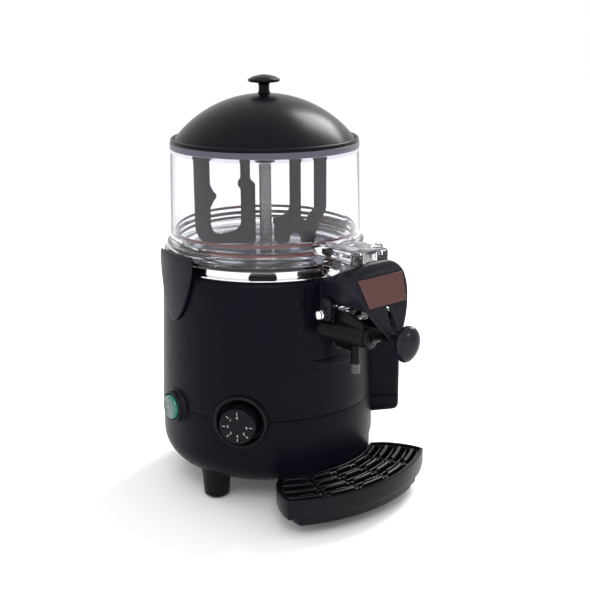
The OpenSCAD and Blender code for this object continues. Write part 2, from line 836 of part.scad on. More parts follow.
module lid_knob() {
  color([0.05, 0.05, 0.06]) difference() {
    rotate_extrude() polygon([
      [0, dome_top_z + 0.1], [7.2, dome_top_z + 0.1], [6.2, dome_top_z + 2], [5.8, dome_top_z + 9],
      [7.5, dome_top_z + 11], [knob_r - 1, dome_top_z + 12.6], [knob_r, dome_top_z + 13.6],
      [knob_r - 0.4, dome_top_z + 15.4], [12, dome_top_z + 18.6], [5, dome_top_z + 20.2],
      [0, dome_top_z + 20.6]]);
    translate([0, 0, dome_top_z - 1]) cylinder(r = 2.1, h = 11);
  }
}

module lid_screw() {
  color("silver") translate([0, 0, dome_top_z - 2.9]) screw(4.6, 2.4, 2, 11);
}

// ---- paddle ----

module paddle() {
  scraper = [
    [-81, bar_z[1]], [-81, 297], [-79.5, 290], [-76, 283.5], [-70, 279], [-62, 277.6], [-11.4, 277.6],
    [-11.4, 346], [-17, 351], [-17, bar_z[1]]];
  window = [
    [-63.5, bar_z[0]], [-63.5, 345], [-60, 337], [-55.2, 332.4], [-60, 326], [-63.5, 318],
    [-63.5, 299], [-61, 291], [-57, 287.8], [-50, 287.6], [-34, 291.6], [-28.2, 298],
    [-27.4, 306], [-27.4, 341], [-30.4, 344], [-30.4, 349], [-27.4, 352], [-27.4, bar_z[0]]];
  stirrer = [
    [69.5, bar_z[1]], [69.5, 320], [68.3, 315], [63.4, 306], [59.4, 298], [57.2, 289], [56.7, 277.6],
    [39.6, 277.6], [39.6, 285.5], [36.5, 288.3], [30.5, 288.3], [27.6, 285.5], [27.6, 277.6],
    [9.6, 277.6], [9.6, 299], [8.2, 301], [8.2, 306.6], [15, 307.6], [21.5, 310.5], [25.6, 314.5],
    [27.4, 320], [27.4, bar_z[1]]];
  slot = [
    [39.7, bar_z[0]], [39.7, 309], [41.5, 304.5], [45, 302], [49.4, 304], [51.5, 308], [52.6, 312.5],
    [55.8, 318], [55.8, bar_z[0]]];
  color([0.12, 0.13, 0.17]) facing(paddle_angle) difference() {
    union() {
      front_slab(-blade_t / 2, blade_t / 2) {
        difference() {
          polygon(scraper);
          polygon(window);
        }
        difference() {
          polygon(stirrer);
          polygon(slot);
        }
        translate([-20, bar_z[0]]) square([50, bar_z[1] - bar_z[0]]);
      }
      translate([0, 0, hub_z[0]]) cylinder(r = 12.5, h = hub_z[1] - hub_z[0]);
    }
    rotate([0, 0, -paddle_angle]) {
      translate([0, 0, 379]) cylinder(r = shaft_r + 0.75, h = 14, $fn = 6);
      translate([0, 0, 370]) cylinder(r = shaft_r + 0.5, h = 10);
    }
  }
}

placed() lower_shell();
placed() upper_shell();
placed() front_panel();
placed() base_plate();
placed() base_screws();
placed() legs();
placed() leg_pads();
placed() water_tank();
placed() tank_gasket();
placed() heater_ring();
placed() bowl_catches();
placed() gear_motor();
placed() motor_bracket();
placed() motor_screws();
placed() shaft_bush();
placed() drive_shaft();
placed() thermostat_body();
placed() dial_bezel();
placed() thermostat_dial();
placed() switch_bezel();
placed() switch_body();
placed() power_button();
placed() side_box();
placed() side_box_cover();
placed() side_box_screws();
placed() rocker_frame();
placed() mixer_rocker();
placed() terminal_block();
placed() cord_gland();
placed() drain_tube();
placed() drain_plug();
placed() tray_bracket();
placed() drip_tray();
placed() drip_grid();
placed() bowl();
placed() centre_tube();
placed() tube_nut();
placed() tube_bush();
placed() vent_cap();
placed() handle_left();
placed() handle_right();
placed() handle_screws();
placed() tap_hood();
placed() label_plate();
placed() tap_pin();
placed() lever_yoke();
placed() lever_knob();
placed() valve_piston();
placed() piston_rings();
placed() piston_pin();
placed() lid();
placed() lid_knob();
placed() lid_screw();
placed() paddle();
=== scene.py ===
"""Looks of the heated sauce dispenser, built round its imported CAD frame."""
import math

import bmesh
import bpy
from mathutils import Matrix, Vector


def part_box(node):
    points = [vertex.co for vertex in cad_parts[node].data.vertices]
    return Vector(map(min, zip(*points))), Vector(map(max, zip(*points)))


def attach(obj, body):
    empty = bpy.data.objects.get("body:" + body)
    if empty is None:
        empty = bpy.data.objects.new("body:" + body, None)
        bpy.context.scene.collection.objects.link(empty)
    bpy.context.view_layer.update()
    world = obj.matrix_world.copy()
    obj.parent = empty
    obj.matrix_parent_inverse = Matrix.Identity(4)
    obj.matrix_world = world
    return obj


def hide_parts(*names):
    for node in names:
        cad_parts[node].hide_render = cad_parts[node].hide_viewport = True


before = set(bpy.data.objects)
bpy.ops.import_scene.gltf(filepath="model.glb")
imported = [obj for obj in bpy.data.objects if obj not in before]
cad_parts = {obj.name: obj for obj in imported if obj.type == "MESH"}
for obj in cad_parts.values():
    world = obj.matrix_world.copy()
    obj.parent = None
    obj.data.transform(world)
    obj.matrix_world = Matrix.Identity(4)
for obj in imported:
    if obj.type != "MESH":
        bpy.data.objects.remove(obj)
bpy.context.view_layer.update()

MM = 0.001
SEG = 144
SHAFT_LOW, SHAFT_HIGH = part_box("drive_shaft")
AXIS = (SHAFT_LOW + SHAFT_HIGH) / 2

# ---- places: millimetres round the bowl's axis, front at -Y ----


def at(x, y, z):
    """A point given in millimetres round the bowl's axis, in the frame's metres."""
    return Vector((AXIS.x + x * MM, AXIS.y + y * MM, z * MM))


def edge(node, axis, high=True):
    """One face of a CAD node's box, in millimetres round the axis."""
    low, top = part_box(node)
    return ((top if high else low)[axis] - (AXIS[axis] if axis < 2 else 0)) / MM


def move(x=0, y=0, z=0):
    return Matrix.Translation((x, y, z))


def spin(degrees, axis="Z"):
    return Matrix.Rotation(math.radians(degrees), 4, axis)


def outward(angle, z):
    """Turns a shape drawn round +Z so that +Z points out of the casing at an angle from the front."""
    return spin(angle) @ move(z=z) @ spin(90, "X")


def smooth(t):
    t = min(1.0, max(0.0, t))
    return t * t * (3 - 2 * t)


# ---- shapes: (points, faces) in millimetres ----


def rounded(points, radius, steps=4, closed=True):
    """The outline with its corners rounded, by one radius or one for each corner."""
    n = len(points)
    radii = radius if isinstance(radius, (list, tuple)) else [radius] * n
    out = []
    for i, point in enumerate(points):
        p = Vector(point)
        if not closed and i in (0, n - 1) or radii[i] <= 0:
            out.append(tuple(p))
            continue
        a, b = Vector(points[i - 1]) - p, Vector(points[(i + 1) % n]) - p
        if a.length < 1e-6 or b.length < 1e-6:
            out.append(tuple(p))
            continue
        half = a.angle(b) / 2
        reach = min(radii[i] / max(math.tan(half), 1e-4), 0.49 * a.length, 0.49 * b.length)
        start, end = p + a.normalized() * reach, p + b.normalized() * reach
        for k in range(steps + 1):
            t = k / steps
            out.append(tuple((1 - t) ** 2 * start + 2 * t * (1 - t) * p + t * t * end))
    return out


def arc(cx, cy, r, a0, a1, n=12):
    turn = [math.radians(a0 + (a1 - a0) * i / n) for i in range(n + 1)]
    return [(cx + r * math.cos(a), cy + r * math.sin(a)) for a in turn]


def spline(points, steps=4, closed=True):
    """A smooth curve through the points."""
    n, out = len(points), []
    for i in range(n if closed else n - 1):
        p = [Vector(points[(i + k - 1) % n if closed else min(max(i + k - 1, 0), n - 1)]) for k in range(4)]
        for k in range(steps):
            t = k / steps
            out.append(tuple(0.5 * ((2 * p[1]) + (p[2] - p[0]) * t + (2 * p[0] - 5 * p[1] + 4 * p[2] - p[3])
                                    * t * t
                                    + (3 * p[1] - p[0] - 3 * p[2] + p[3]) * t ** 3)))
    if not closed:
        out.append(tuple(points[-1]))
    return out


def loft(rings, ring_loop=False, caps=True, open_rings=False):
    """Skin through rings with the same number of points. ring_loop joins the last ring to the first."""
    n = len(rings[0])
    points = [tuple(p) for ring in rings for p in ring]
    faces = []
    rows, cols = len(rings), n - 1 if open_rings else n
    for i in range(rows if ring_loop else rows - 1):
        for j in range(cols):
            a, b = i * n, (i + 1) % rows * n
            faces.append((a + j, a + (j + 1) % n, b + (j + 1) % n, b + j))
    if caps and not ring_loop:
        faces.append(tuple(range(n))[::-1])
        faces.append(tuple(range((rows - 1) * n, rows * n)))
    return points, faces


def lathe(profile, n=SEG, closed=True, flutes=None):
    """A profile of (radius, height) turned round Z. flutes(i, turn) may change the radius of point i."""
    rings = []
    for i, (r, z) in enumerate(profile):
        ring = []
        for k in range(n):
            a = 2 * math.pi * k / n
            radius = r - flutes(i, a) if flutes else r
            ring.append((radius * math.cos(a), radius * math.sin(a), z))
        rings.append(ring)
    return loft(rings, ring_loop=closed, caps=not closed)


def solid(profile, n=SEG, flutes=None):
    """A profile that starts and ends on the axis, or is capped there, turned round Z."""
    return lathe(profile, n, False, flutes)


def shifted(shape, matrix):
    return [tuple(matrix @ Vector(p)) for p in shape[0]], shape[1]


def joined(*shapes):
    points, faces = [], []
    for more_points, more_faces in shapes:
        base = len(points)
        points += more_points
        faces += [tuple(base + i for i in f) for f in more_faces]
    return points, faces


def block(low, high, radius=0.8, steps=3):
    """A box with rounded edges."""
    bm = bmesh.new()
    bmesh.ops.create_cube(bm, size=1)
    for v in bm.verts:
        v.co = Vector([low[i] + (high[i] - low[i]) * (v.co[i] + 0.5) for i in range(3)])
    if radius > 0:
        bmesh.ops.bevel(bm, geom=bm.edges[:], offset=radius, segments=steps, profile=0.5, affect="EDGES")
    bm.verts.index_update()
    shape = [tuple(v.co) for v in bm.verts], [tuple(v.index for v in f.verts) for f in bm.faces]
    bm.free()
    return shape


def drawn(data):
    """The shape of a curve or a text, which is then removed."""
    obj = bpy.data.objects.new(data.name, data)
    bpy.context.scene.collection.objects.link(obj)
    mesh = bpy.data.meshes.new_from_object(obj.evaluated_get(bpy.context.evaluated_depsgraph_get()))
    shape = [tuple(v.co) for v in mesh.vertices], [tuple(p.vertices) for p in mesh.polygons]
    bpy.data.objects.remove(obj)
    bpy.data.curves.remove(data)
    bpy.data.meshes.remove(mesh)
    return shape


def plate(outlines, half, bevel=0.6, steps=3):
    """A flat plate of outlines in x and y, holes included, with rounded edges, from -half to +half in z."""
    data = bpy.data.curves.new("outline", "CURVE")
    data.dimensions, data.fill_mode = "2D", "BOTH"
    data.extrude, data.bevel_depth, data.offset = half - bevel, bevel, -bevel
    data.bevel_resolution = steps
    for outline in outlines:
        line = data.splines.new("POLY")
        line.points.add(len(outline) - 1)
        for point, (x, y) in zip(line.points, outline):
            point.co = (x, y, 0, 1)
        line.use_cyclic_u = True
    return drawn(data)


def to_mesh(name, shape, weld=0.004):
    mesh = bpy.data.meshes.new(name)
    mesh.from_pydata([at(*p) for p in shape[0]], [], shape[1])
    bm = bmesh.new()
    bm.from_mesh(mesh)
    bmesh.ops.remove_doubles(bm, verts=bm.verts[:], dist=weld * MM)
    bmesh.ops.dissolve_degenerate(bm, edges=bm.edges[:], dist=weld * MM)
    bmesh.ops.recalc_face_normals(bm, faces=bm.faces[:])
    bm.to_mesh(mesh)
    bm.free()
    obj = bpy.data.objects.new(name, mesh)
    bpy.context.scene.collection.objects.link(obj)
    return obj


def settle(obj):
    """Applies an object's modifiers to its mesh."""
    bpy.context.view_layer.update()
    mesh = bpy.data.meshes.new_from_object(obj.evaluated_get(bpy.context.evaluated_depsgraph_get()))
    old, obj.data = obj.data, mesh
    obj.modifiers.clear()
    bpy.data.meshes.remove(old)
    mesh.name = obj.name
    return obj


def carve(obj, shape, operation="DIFFERENCE", folded=False):
    """Cuts a closed shape out of an object, or adds it. folded is for a mesh that may touch itself."""
    tool = to_mesh("tool", shape)
    mod = obj.modifiers.new("carve", "BOOLEAN")
    mod.operation, mod.object, mod.solver, mod.use_self = operation, tool, "EXACT", folded
    settle(obj)
    bpy.data.objects.remove(tool)
    return obj


def dress(obj, material, body, slot=None, nodes=(), sharp=38, bevel=0.0):
    """Smooth shading, material, and the CAD body that the piece rides on."""
    if bevel:
        mod = obj.modifiers.new("soft_edges", "BEVEL")
        mod.width, mod.segments, mod.limit_method = bevel * MM, 2, "ANGLE"
        mod.angle_limit, mod.harden_normals = math.radians(sharp), False
        settle(obj)
    obj.data.materials.clear()
    obj.data.materials.append(material)
    obj.data.shade_smooth()
    obj.data.set_sharp_from_angle(angle=math.radians(sharp))
    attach(obj, body)
    if nodes:
        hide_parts(*nodes)
    return obj


def piece(name, shape, material, body, slot=None, nodes=(), **looks):
    return dress(to_mesh(name, shape), material, body, slot, nodes, **looks)


# ---- materials ----


def tint(colour, factor):
    return tuple(min(1.0, c * factor) for c in colour[:3]) + (1.0,)


def finish(name, base, rough, metal=0.0, spec=0.5, vary=0.18, rough_vary=0.06, grain=900.0, depth=0.0,
           cloud=26.0, stretch=(1, 1, 1), wear=0.0, scuff=0.0, coat=0.0, coat_rough=0.1, clear=0.0, ior=1.5):
    """A Principled finish whose colour, roughness and relief come from noise fixed to the piece."""
    material = bpy.data.materials.new(name)
    material.use_nodes = True
    tree = material.node_tree
    tree.nodes.clear()

    def node(kind, **values):
        made = tree.nodes.new(kind)
        for key, value in values.items():
            if key in made.inputs:
                made.inputs[key].default_value = value
            else:
                setattr(made, key, value)
        return made

    def link(a, a_name, b, b_name):
        tree.links.new(a.outputs[a_name], b.inputs[b_name])

    out = node("ShaderNodeOutputMaterial")
    shader = node("ShaderNodeBsdfPrincipled", Metallic=metal, IOR=ior)
    shader.inputs["Specular IOR Level"].default_value = spec
    shader.inputs["Coat Weight"].default_value = coat
    shader.inputs["Coat Roughness"].default_value = coat_rough
    shader.inputs["Transmission Weight"].default_value = clear
    link(shader, "BSDF", out, "Surface")
    place = node("ShaderNodeTexCoord")
    mapping = node("ShaderNodeMapping", Scale=stretch)
    link(place, "Object", mapping, "Vector")

    clouds = node("ShaderNodeTexNoise", Scale=cloud, Detail=5.0, Roughness=0.6)
    link(mapping, "Vector", clouds, "Vector")
    colours = node("ShaderNodeMix", data_type="RGBA")
    colours.inputs[6].default_value = tint(base, 1 - vary)
    colours.inputs[7].default_value = tint(base, 1 + vary)
    tree.links.new(clouds.outputs["Fac"], colours.inputs[0])
    last = colours
    if wear:
        geometry = node("ShaderNodeNewGeometry")
        edges = node("ShaderNodeMapRange")
        for key, value in (("From Min", 0.52), ("From Max", 0.62), ("To Max", wear)):
            edges.inputs[key].default_value = value
        link(geometry, "Pointiness", edges, "Value")
        worn = node("ShaderNodeMix", data_type="RGBA")
        worn.inputs[7].default_value = tint([c * 2.2 + 0.03 for c in base], 1)
        tree.links.new(edges.outputs[0], worn.inputs[0])
        tree.links.new(last.outputs[2], worn.inputs[6])
        last = worn
    tree.links.new(last.outputs[2], shader.inputs["Base Color"])

    spread = node("ShaderNodeMapRange")
    for key, value in (("From Min", 0.3), ("From Max", 0.7), ("To Min", max(0.0, rough - rough_vary)),
                       ("To Max", rough + rough_vary)):
        spread.inputs[key].default_value = value
    link(clouds, "Fac", spread, "Value")
    roughness = spread
    if scuff:
        marks = node("ShaderNodeTexNoise", Scale=70.0, Detail=8.0, Roughness=0.75, Distortion=1.6)
        link(place, "Object", marks, "Vector")
        picked = node("ShaderNodeMapRange")
        for key, value in (("From Min", 0.6), ("From Max", 0.8), ("To Max", scuff)):
            picked.inputs[key].default_value = value
        link(marks, "Fac", picked, "Value")
        total = node("ShaderNodeMath", operation="ADD")
        tree.links.new(spread.outputs[0], total.inputs[0])
        tree.links.new(picked.outputs[0], total.inputs[1])
        roughness = total
    tree.links.new(roughness.outputs[0], shader.inputs["Roughness"])

    if depth:
        fine = node("ShaderNodeTexNoise", Scale=grain, Detail=3.0, Roughness=0.55)
        link(mapping, "Vector", fine, "Vector")
        relief = node("ShaderNodeBump", Strength=0.6, Distance=depth * MM)
        link(fine, "Fac", relief, "Height")
        link(relief, "Normal", shader, "Normal")
    return material


BLACK = (0.0028, 0.0031, 0.0066)
casing = finish("satin_casing", BLACK, 0.36, spec=0.065, vary=0.3, rough_vary=0.035, grain=1500, depth=0.035,
                scuff=0.08)
hood_skin = finish("hood_plastic", (0.0060, 0.0065, 0.0115), 0.34, spec=0.13, vary=0.2, rough_vary=0.03,
                   grain=1600, depth=0.022, wear=0.25, scuff=0.06)
lid_skin = finish("lid_plastic", (0.0028, 0.0028, 0.0050), 0.28, spec=0.09, vary=0.25, rough_vary=0.03,
                  grain=1900, depth=0.012, scuff=0.05)
trim = finish("trim_plastic", (0.0032, 0.0032, 0.0050), 0.38, spec=0.12, vary=0.25, grain=1300, depth=0.03,
              wear=0.3, scuff=0.08)
knob_skin = finish("knob_plastic", (0.0060, 0.0057, 0.0120), 0.27, spec=0.22, vary=0.2, rough_vary=0.03,
                   grain=1700, depth=0.01, scuff=0.05)
tray_skin = finish("tray_plastic", (0.0032, 0.0032, 0.0056), 0.30, spec=0.12, vary=0.25, grain=1400,
                   depth=0.028, scuff=0.08)
grid_skin = finish("grid_plastic", (0.0032, 0.0032, 0.0050), 0.22, spec=0.2, vary=0.25, grain=1200,
                   depth=0.02, scuff=0.1)
blade_skin = finish("paddle_plastic", (0.0040, 0.0046, 0.0080), 0.36, spec=0.05, vary=0.25, grain=1300,
                    depth=0.03, scuff=0.08)
dial_skin = finish("dial_plastic", (0.0040, 0.0040, 0.0065), 0.32, spec=0.13, vary=0.2, grain=1500,
                   depth=0.02, scuff=0.05)
print_white = finish("white_print", (0.50, 0.50, 0.49), 0.5, vary=0.06, grain=2500, depth=0.01)
rubber = finish("black_rubber", (0.014, 0.014, 0.014), 0.72, spec=0.3, vary=0.3, grain=1100, depth=0.05,
                scuff=0.1)
gasket = finish("gasket_silicone", (0.20, 0.035, 0.022), 0.45, vary=0.3, grain=900, depth=0.03, cloud=60)
steel = finish("brushed_steel", (0.22, 0.21, 0.205), 0.24, metal=1.0, vary=0.08, rough_vary=0.07, grain=420,
               depth=0.02, stretch=(1, 1, 9), cloud=60)
ring_steel = finish("bright_rim_steel", (0.80, 0.80, 0.82), 0.12, metal=1.0, vary=0.05, rough_vary=0.04,
                    grain=260, depth=0.008, stretch=(1, 1, 24), cloud=90, scuff=0.06)
chrome = finish("plated_pin", (0.83, 0.83, 0.84), 0.10, metal=1.0, vary=0.04, rough_vary=0.04, grain=1100,
                depth=0.01, scuff=0.1)
zinc = finish("zinc_screws", (0.52, 0.53, 0.54), 0.34, metal=1.0, vary=0.12, rough_vary=0.08, grain=1500,
              depth=0.02)
motor_paint = finish("motor_paint", (0.17, 0.175, 0.19), 0.46, vary=0.15, grain=700, depth=0.05, wear=0.4,
                     scuff=0.15)
heater_metal = finish("heater_sheath", (0.22, 0.13, 0.09), 0.42, metal=0.8, vary=0.35, grain=800, depth=0.03,
                      cloud=45)
ivory = finish("engineering_plastic", (0.62, 0.60, 0.53), 0.42, vary=0.08, grain=1300, depth=0.02)
grey_plug = finish("plug_plastic", (0.055, 0.055, 0.060), 0.45, vary=0.15, grain=1200, depth=0.03, wear=0.2)
lamp_green = finish("button_green", (0.010, 0.24, 0.17), 0.16, spec=0.6, vary=0.25, rough_vary=0.05,
                    grain=900, depth=0.01, clear=0.35, ior=1.46, coat=0.4)
lamp_face = finish("button_face", (0.13, 0.18, 0.18), 0.25, spec=0.35, vary=0.2, rough_vary=0.06, grain=1500,
                   depth=0.015, metal=0.1, clear=0.1, coat=0.15)
brown = finish("label_brown", (0.072, 0.029, 0.027), 0.36, spec=0.18, vary=0.1, rough_vary=0.05, grain=700,
               depth=0.02, stretch=(1, 4, 1), wear=0.5, scuff=0.06)
clear_plastic = finish("clear_plastic", (0.86, 0.86, 0.90), 0.03, vary=0.02, rough_vary=0.015, grain=300,
                       depth=0.003, clear=1.0, ior=1.47)
frosted = finish("frosted_plastic", (0.10, 0.09, 0.13), 0.34, vary=0.05, rough_vary=0.05, grain=1400,
                 depth=0.01, clear=0.35, ior=1.47)

# ---- casing ----

BODY_R, SHOULDER_R, SEAM_Z = 123.0, 117.7, 108.0
TOP_Z, UNDER_Z = edge("upper_shell", 2), edge("lower_shell", 2, False)
CORNER = 36.0


def wall_r(z):
    """Radius of the casing's outside at a height above its round lower corner."""
    return BODY_R if z < SEAM_Z else BODY_R + (SHOULDER_R - BODY_R) * (z - SEAM_Z) / (TOP_Z - 6 - SEAM_Z)


def rod(r, from_r, to_r, z, angle=0, n=48):
    """A closed rod that points out of the casing."""
    return shifted(solid([(r, from_r), (r, to_r)], n), outward(angle, z))


DIAL_AT, POWER_AT, BOX_AT, CONTROL_Z = -54, -97, 61, 108
openings = joined(rod(28.2, 100, 140, CONTROL_Z, DIAL_AT), rod(16.2, 100, 140, CONTROL_Z, POWER_AT),
                  rod(12, 100, 140, 130, BOX_AT), rod(8.3, 100, 140, 80, 180), rod(7.3, 100, 140, 189))

corner_c = BODY_R - CORNER
lower = [(66, UNDER_Z + 0.4), (66.4, UNDER_Z)] + arc(corner_c, UNDER_Z + CORNER, CORNER, -90, 0, 18)
lower += [(BODY_R, 84), (BODY_R, SEAM_Z - 0.7), (BODY_R - 0.15, SEAM_Z - 0.25), (BODY_R - 0.6, SEAM_Z),
          (BODY_R - 3, SEAM_Z)]
lower += arc(corner_c, UNDER_Z + CORNER, CORNER - 3, 0, -90, 12) + [(66, UNDER_Z + 3)]
shell = to_mesh("casing_lower", lathe(lower))
dress(carve(shell, openings), casing, "base", "casing", ["lower_shell"])

seam = SEAM_Z + 0.4
upper = [(BODY_R - 0.6, seam), (BODY_R - 0.15, seam + 0.25), (BODY_R, seam + 0.7)]
upper += [(wall_r(z), z) for z in range(120, int(TOP_Z) - 8, 17)]
upper += arc(SHOULDER_R - 6, TOP_Z - 6, 6, 0, 90, 8) + [(109.2, TOP_Z), (108.6, TOP_Z - 0.6),
                                                        (108.6, TOP_Z - 3)]
upper += [(SHOULDER_R - 6, TOP_Z - 3), (SHOULDER_R - 3, TOP_Z - 6), (BODY_R - 3.1, SEAM_Z + 6),
          (BODY_R - 5.4, SEAM_Z + 5), (BODY_R - 5.4, SEAM_Z - 4), (BODY_R - 3.3, SEAM_Z - 4),
          (BODY_R - 3.3, seam)]
shell = to_mesh("casing_upper", lathe(upper))
dress(carve(shell, openings), casing, "base", "casing", ["upper_shell"])


def on_wall(x, z, lift):
    """A point on the casing's front, lifted off it."""
    r = wall_r(z) + lift
    return (x, -math.sqrt(r * r - x * x), z)


# raised U-shaped bead in front of the tap
bead_top, bead_low, bead_w, bead_r = TOP_Z - 6.5, 168.2, 45.0, 19.0
path = [(-bead_w, bead_top)] + [(-bead_w, z) for z in range(248, 190, -10)]
path += [(x, y) for x, y in arc(-bead_w + bead_r, bead_low + bead_r, bead_r, 180, 270, 12)]
path += [(x, bead_low) for x in range(-20, 21, 8)]
path += [(x, y) for x, y in arc(bead_w - bead_r, bead_low + bead_r, bead_r, 270, 360, 12)]
path += [(bead_w, z) for z in range(198, 250, 10)] + [(bead_w, bead_top)]
section = [(-5.2, -0.5), (-5.1, 0.35), (-4.7, 0.95), (-3.9, 1.3), (-2, 1.45), (0, 1.5), (2, 1.45),
           (3.9, 1.3), (4.7, 0.95), (5.1, 0.35), (5.2, -0.5)]
rings = []
for i, (x, z) in enumerate(path):
    before, after = Vector(path[max(i - 1, 0)]), Vector(path[min(i + 1, len(path) - 1)])
    along = (after - before).normalized()
    side = Vector((-along.y, along.x))
    fade = 0.45 if i in (0, len(path) - 1) else 1.0
    rings.append([on_wall(x + side.x * w, min(z + side.y * w, TOP_Z - 6), h * fade) for w, h in section])
piece("front_bead", loft(rings), casing, "base", "casing", ["front_panel"])

# feet, cut to the casing's underside
LEG_R = 93.0
LEG_ANGLES = [0, 80, 148, -148, -80]
leg_side = rounded([(9.0, 3), (14.4, 3), (16.0, 26), (17.4, 34), (17.8, 46)], [0, 3.2, 14, 6, 0], 5,
                   closed=False)
leg = solid([(0, 3)] + leg_side + [(0, 46)], 64)
feet = to_mesh("feet", joined(*[shifted(leg, spin(a) @ move(y=-LEG_R)) for a in LEG_ANGLES]))
body_tool = solid([(0, UNDER_Z)] + arc(corner_c, UNDER_Z + CORNER, CORNER, -90, 0, 18)
                  + [(BODY_R, 80), (0, 80)])
dress(carve(feet, body_tool), trim, "base", "casing", ["legs"])
pad = solid(rounded([(0, 3), (0, 0.0), (8.8, 0.0), (8.8, 3)], [0, 0, 0.7, 0], 3, closed=False), 48)
piece("foot_pads", joined(*[shifted(pad, spin(a) @ move(y=-LEG_R)) for a in LEG_ANGLES]), rubber, "base",
      "rubber", ["leg_pads"])

# catches on the bright rim
CATCH_IN, CATCH_OUT, CATCH_ANGLES = 108.5, 114.8, (-42, -14, 14, 42, 160, 200)
catch = []
for z, half in ((263.7, 13.0), (264.4, 14.6), (266.6, 15), (268.8, 14.6), (269.6, 13.0)):
    ring = []
    for x, r in rounded([(-half, CATCH_IN), (half, CATCH_IN), (half, CATCH_OUT), (-half, CATCH_OUT)],
                        [0, 0, 1.6, 1.6], 4):
        ring.append((r * math.sin(x / 112), -r * math.cos(x / 112), z))
    catch.append(ring)
piece("bowl_catch_lugs", joined(*[shifted(loft(catch), spin(a)) for a in CATCH_ANGLES]), trim, "base",
      "trim", ["bowl_catches"])


def screws(name, seats, head_r, head_h, shank_r, length, body, nodes, slot="steel", turn=30):
    """Pan-head screws with cross recesses. A seat's +Z points along the shank."""
    profile = rounded([(0, -head_h), (head_r * 0.7, -head_h), (head_r, -head_h * 0.55), (head_r, 0),
                       (shank_r, 0), (shank_r, length - 1), (shank_r * 0.4, length), (0, length)],
                       [0, 1, 0.6, 0, 0, 0.3, 0, 0], 3, False)
    screw = solid(profile, 32)
    obj = to_mesh(name, joined(*[shifted(screw, seat) for seat in seats]))
    arm, deep = head_r * 0.55, head_h * 0.55
    star = []
    for k in (0, 90):
        star.append(shifted(block((-arm, -0.32, -head_h - 1), (arm, 0.32, -head_h + deep), 0),
                            spin(k + turn)))
    for tool in star:
        carve(obj, joined(*[shifted(tool, seat) for seat in seats]))
    return dress(obj, zinc, body, slot, nodes)


screws("base_plate_screws", [spin(a) @ move(y=-72, z=26) for a in (45, 135, 225, 315)], 3.8, 2.2, 2, 9,
       "base", ["base_screws"])
flip = spin(180, "X")
screws("motor_mount_screws", [move(x * 47, y * 14, 26) for x in (-1, 1) for y in (-1, 1)]
       + [move(x * 28, y * 16, 172.5) @ flip for x in (-1, 1) for y in (-1, 1)], 3.8, 2.0, 1.95, 10, "base",
       ["motor_screws"])

# ---- controls ----

collar_shape = [(25.5, 113.5), (25.5, 125.2), (25.8, 126.2), (26.6, 126.9), (27.6, 127.1), (29.0, 126.7),
                (29.8, 125.6), (30.1, 123.8), (30.6, 120.5), (31.4, 118.0), (31.6, 116.2), (27.9, 116.2),
                (27.9, 111.6), (4, 111.6), (4, 113.2), (25, 113.2)]
collar = to_mesh("dial_collar", shifted(lathe(collar_shape, 96), outward(DIAL_AT, CONTROL_Z)))
dress(collar, trim, "base", "trim", ["dial_bezel"], sharp=50)

FACE = 138.5
dial_profile = [(0, 115.6), (19.6, 115.6), (20.1, 116.2), (20.4, 118), (20.4, 127), (20.3, 133),
                (20.1, FACE - 2.6), (19.5, FACE - 0.8), (18.6, FACE), (17.9, FACE), (17.2, FACE - 0.25),
                (9, FACE - 0.3), (0, FACE - 0.3)]


def grip(i, a):
    return (0.42 * (0.5 - 0.5 * math.cos(60 * a)) if 3 <= i <= 6 else 0.0)


piece("dial_knob", shifted(solid(dial_profile, 240, flutes=grip), outward(DIAL_AT, CONTROL_Z)), dial_skin,
      "dial", "dial", ["thermostat_dial"], sharp=45)
shaft = shifted(solid([(0, 98.4), (2.9, 98.4), (2.9, 115.9), (0, 115.9)], 32), outward(DIAL_AT, CONTROL_Z))
piece("dial_stem", shaft, ivory, "dial", "dial")


def digit(text, size):
    """A numeral as a thin raised shape, centred."""
    data = bpy.data.curves.new("digit", "FONT")
    data.body, data.size, data.extrude = text, size, 0.06
    data.align_x, data.align_y = "CENTER", "CENTER"
    return drawn(data)


marks = []
for k, clock in enumerate((0, 315, 270, 225, 180, 135, 90)):
    a = math.radians(clock)
    x, y = math.sin(a), math.cos(a)
    tick = block((-0.32, -1.8, -0.15), (0.32, 1.8, 0.22), 0.12, 1)
    marks.append(shifted(tick, move(x * 14.9, y * 14.9, FACE - 0.3) @ spin(-clock)))
    marks.append(shifted(digit(str(k), 4.2), move(x * 10.4, y * 10.4, FACE - 0.22)))
piece("dial_marks", shifted(joined(*marks), outward(DIAL_AT, CONTROL_Z)), print_white, "dial", "dial",
      sharp=30)

bezel_shape = [(14.1, 111.6), (14.1, 127.6), (14.5, 128.5), (15.2, 129.2), (16.3, 129.5), (17.4, 129.2),
               (18.1, 128.4), (18.4, 127.0), (18.4, 124.8), (19.0, 124.0), (20.2, 123.4), (20.5, 122.2),
               (20.5, 118), (15.9, 118), (15.9, 111.6)]
piece("switch_collar", shifted(lathe(bezel_shape, 80), outward(POWER_AT, CONTROL_Z)), trim, "base", "trim",
      ["switch_bezel"], sharp=50)
CAP = 132.3
button = [(0, 113), (13.5, 113), (13.6, 114), (13.6, CAP - 2.4), (13.3, CAP - 1), (12.4, CAP - 0.2),
          (11.6, CAP), (0, CAP)]
piece("button_cap", shifted(solid(button, 80), outward(POWER_AT, CONTROL_Z)), lamp_green, "button", "button",
      ["power_button"], sharp=50)
face = [(0, CAP + 0.05), (11.7, CAP + 0.05), (11.9, CAP + 0.4)]
for r in (11.1, 8.4, 5.7):
    face += [(r + 0.5, CAP + 0.9), (r - 0.5, CAP + 0.95), (r - 1.0, CAP + 0.35), (r - 1.8, CAP + 0.3)]
face += [(3.2, CAP + 0.9), (1.6, CAP + 0.95), (0, CAP + 0.85)]
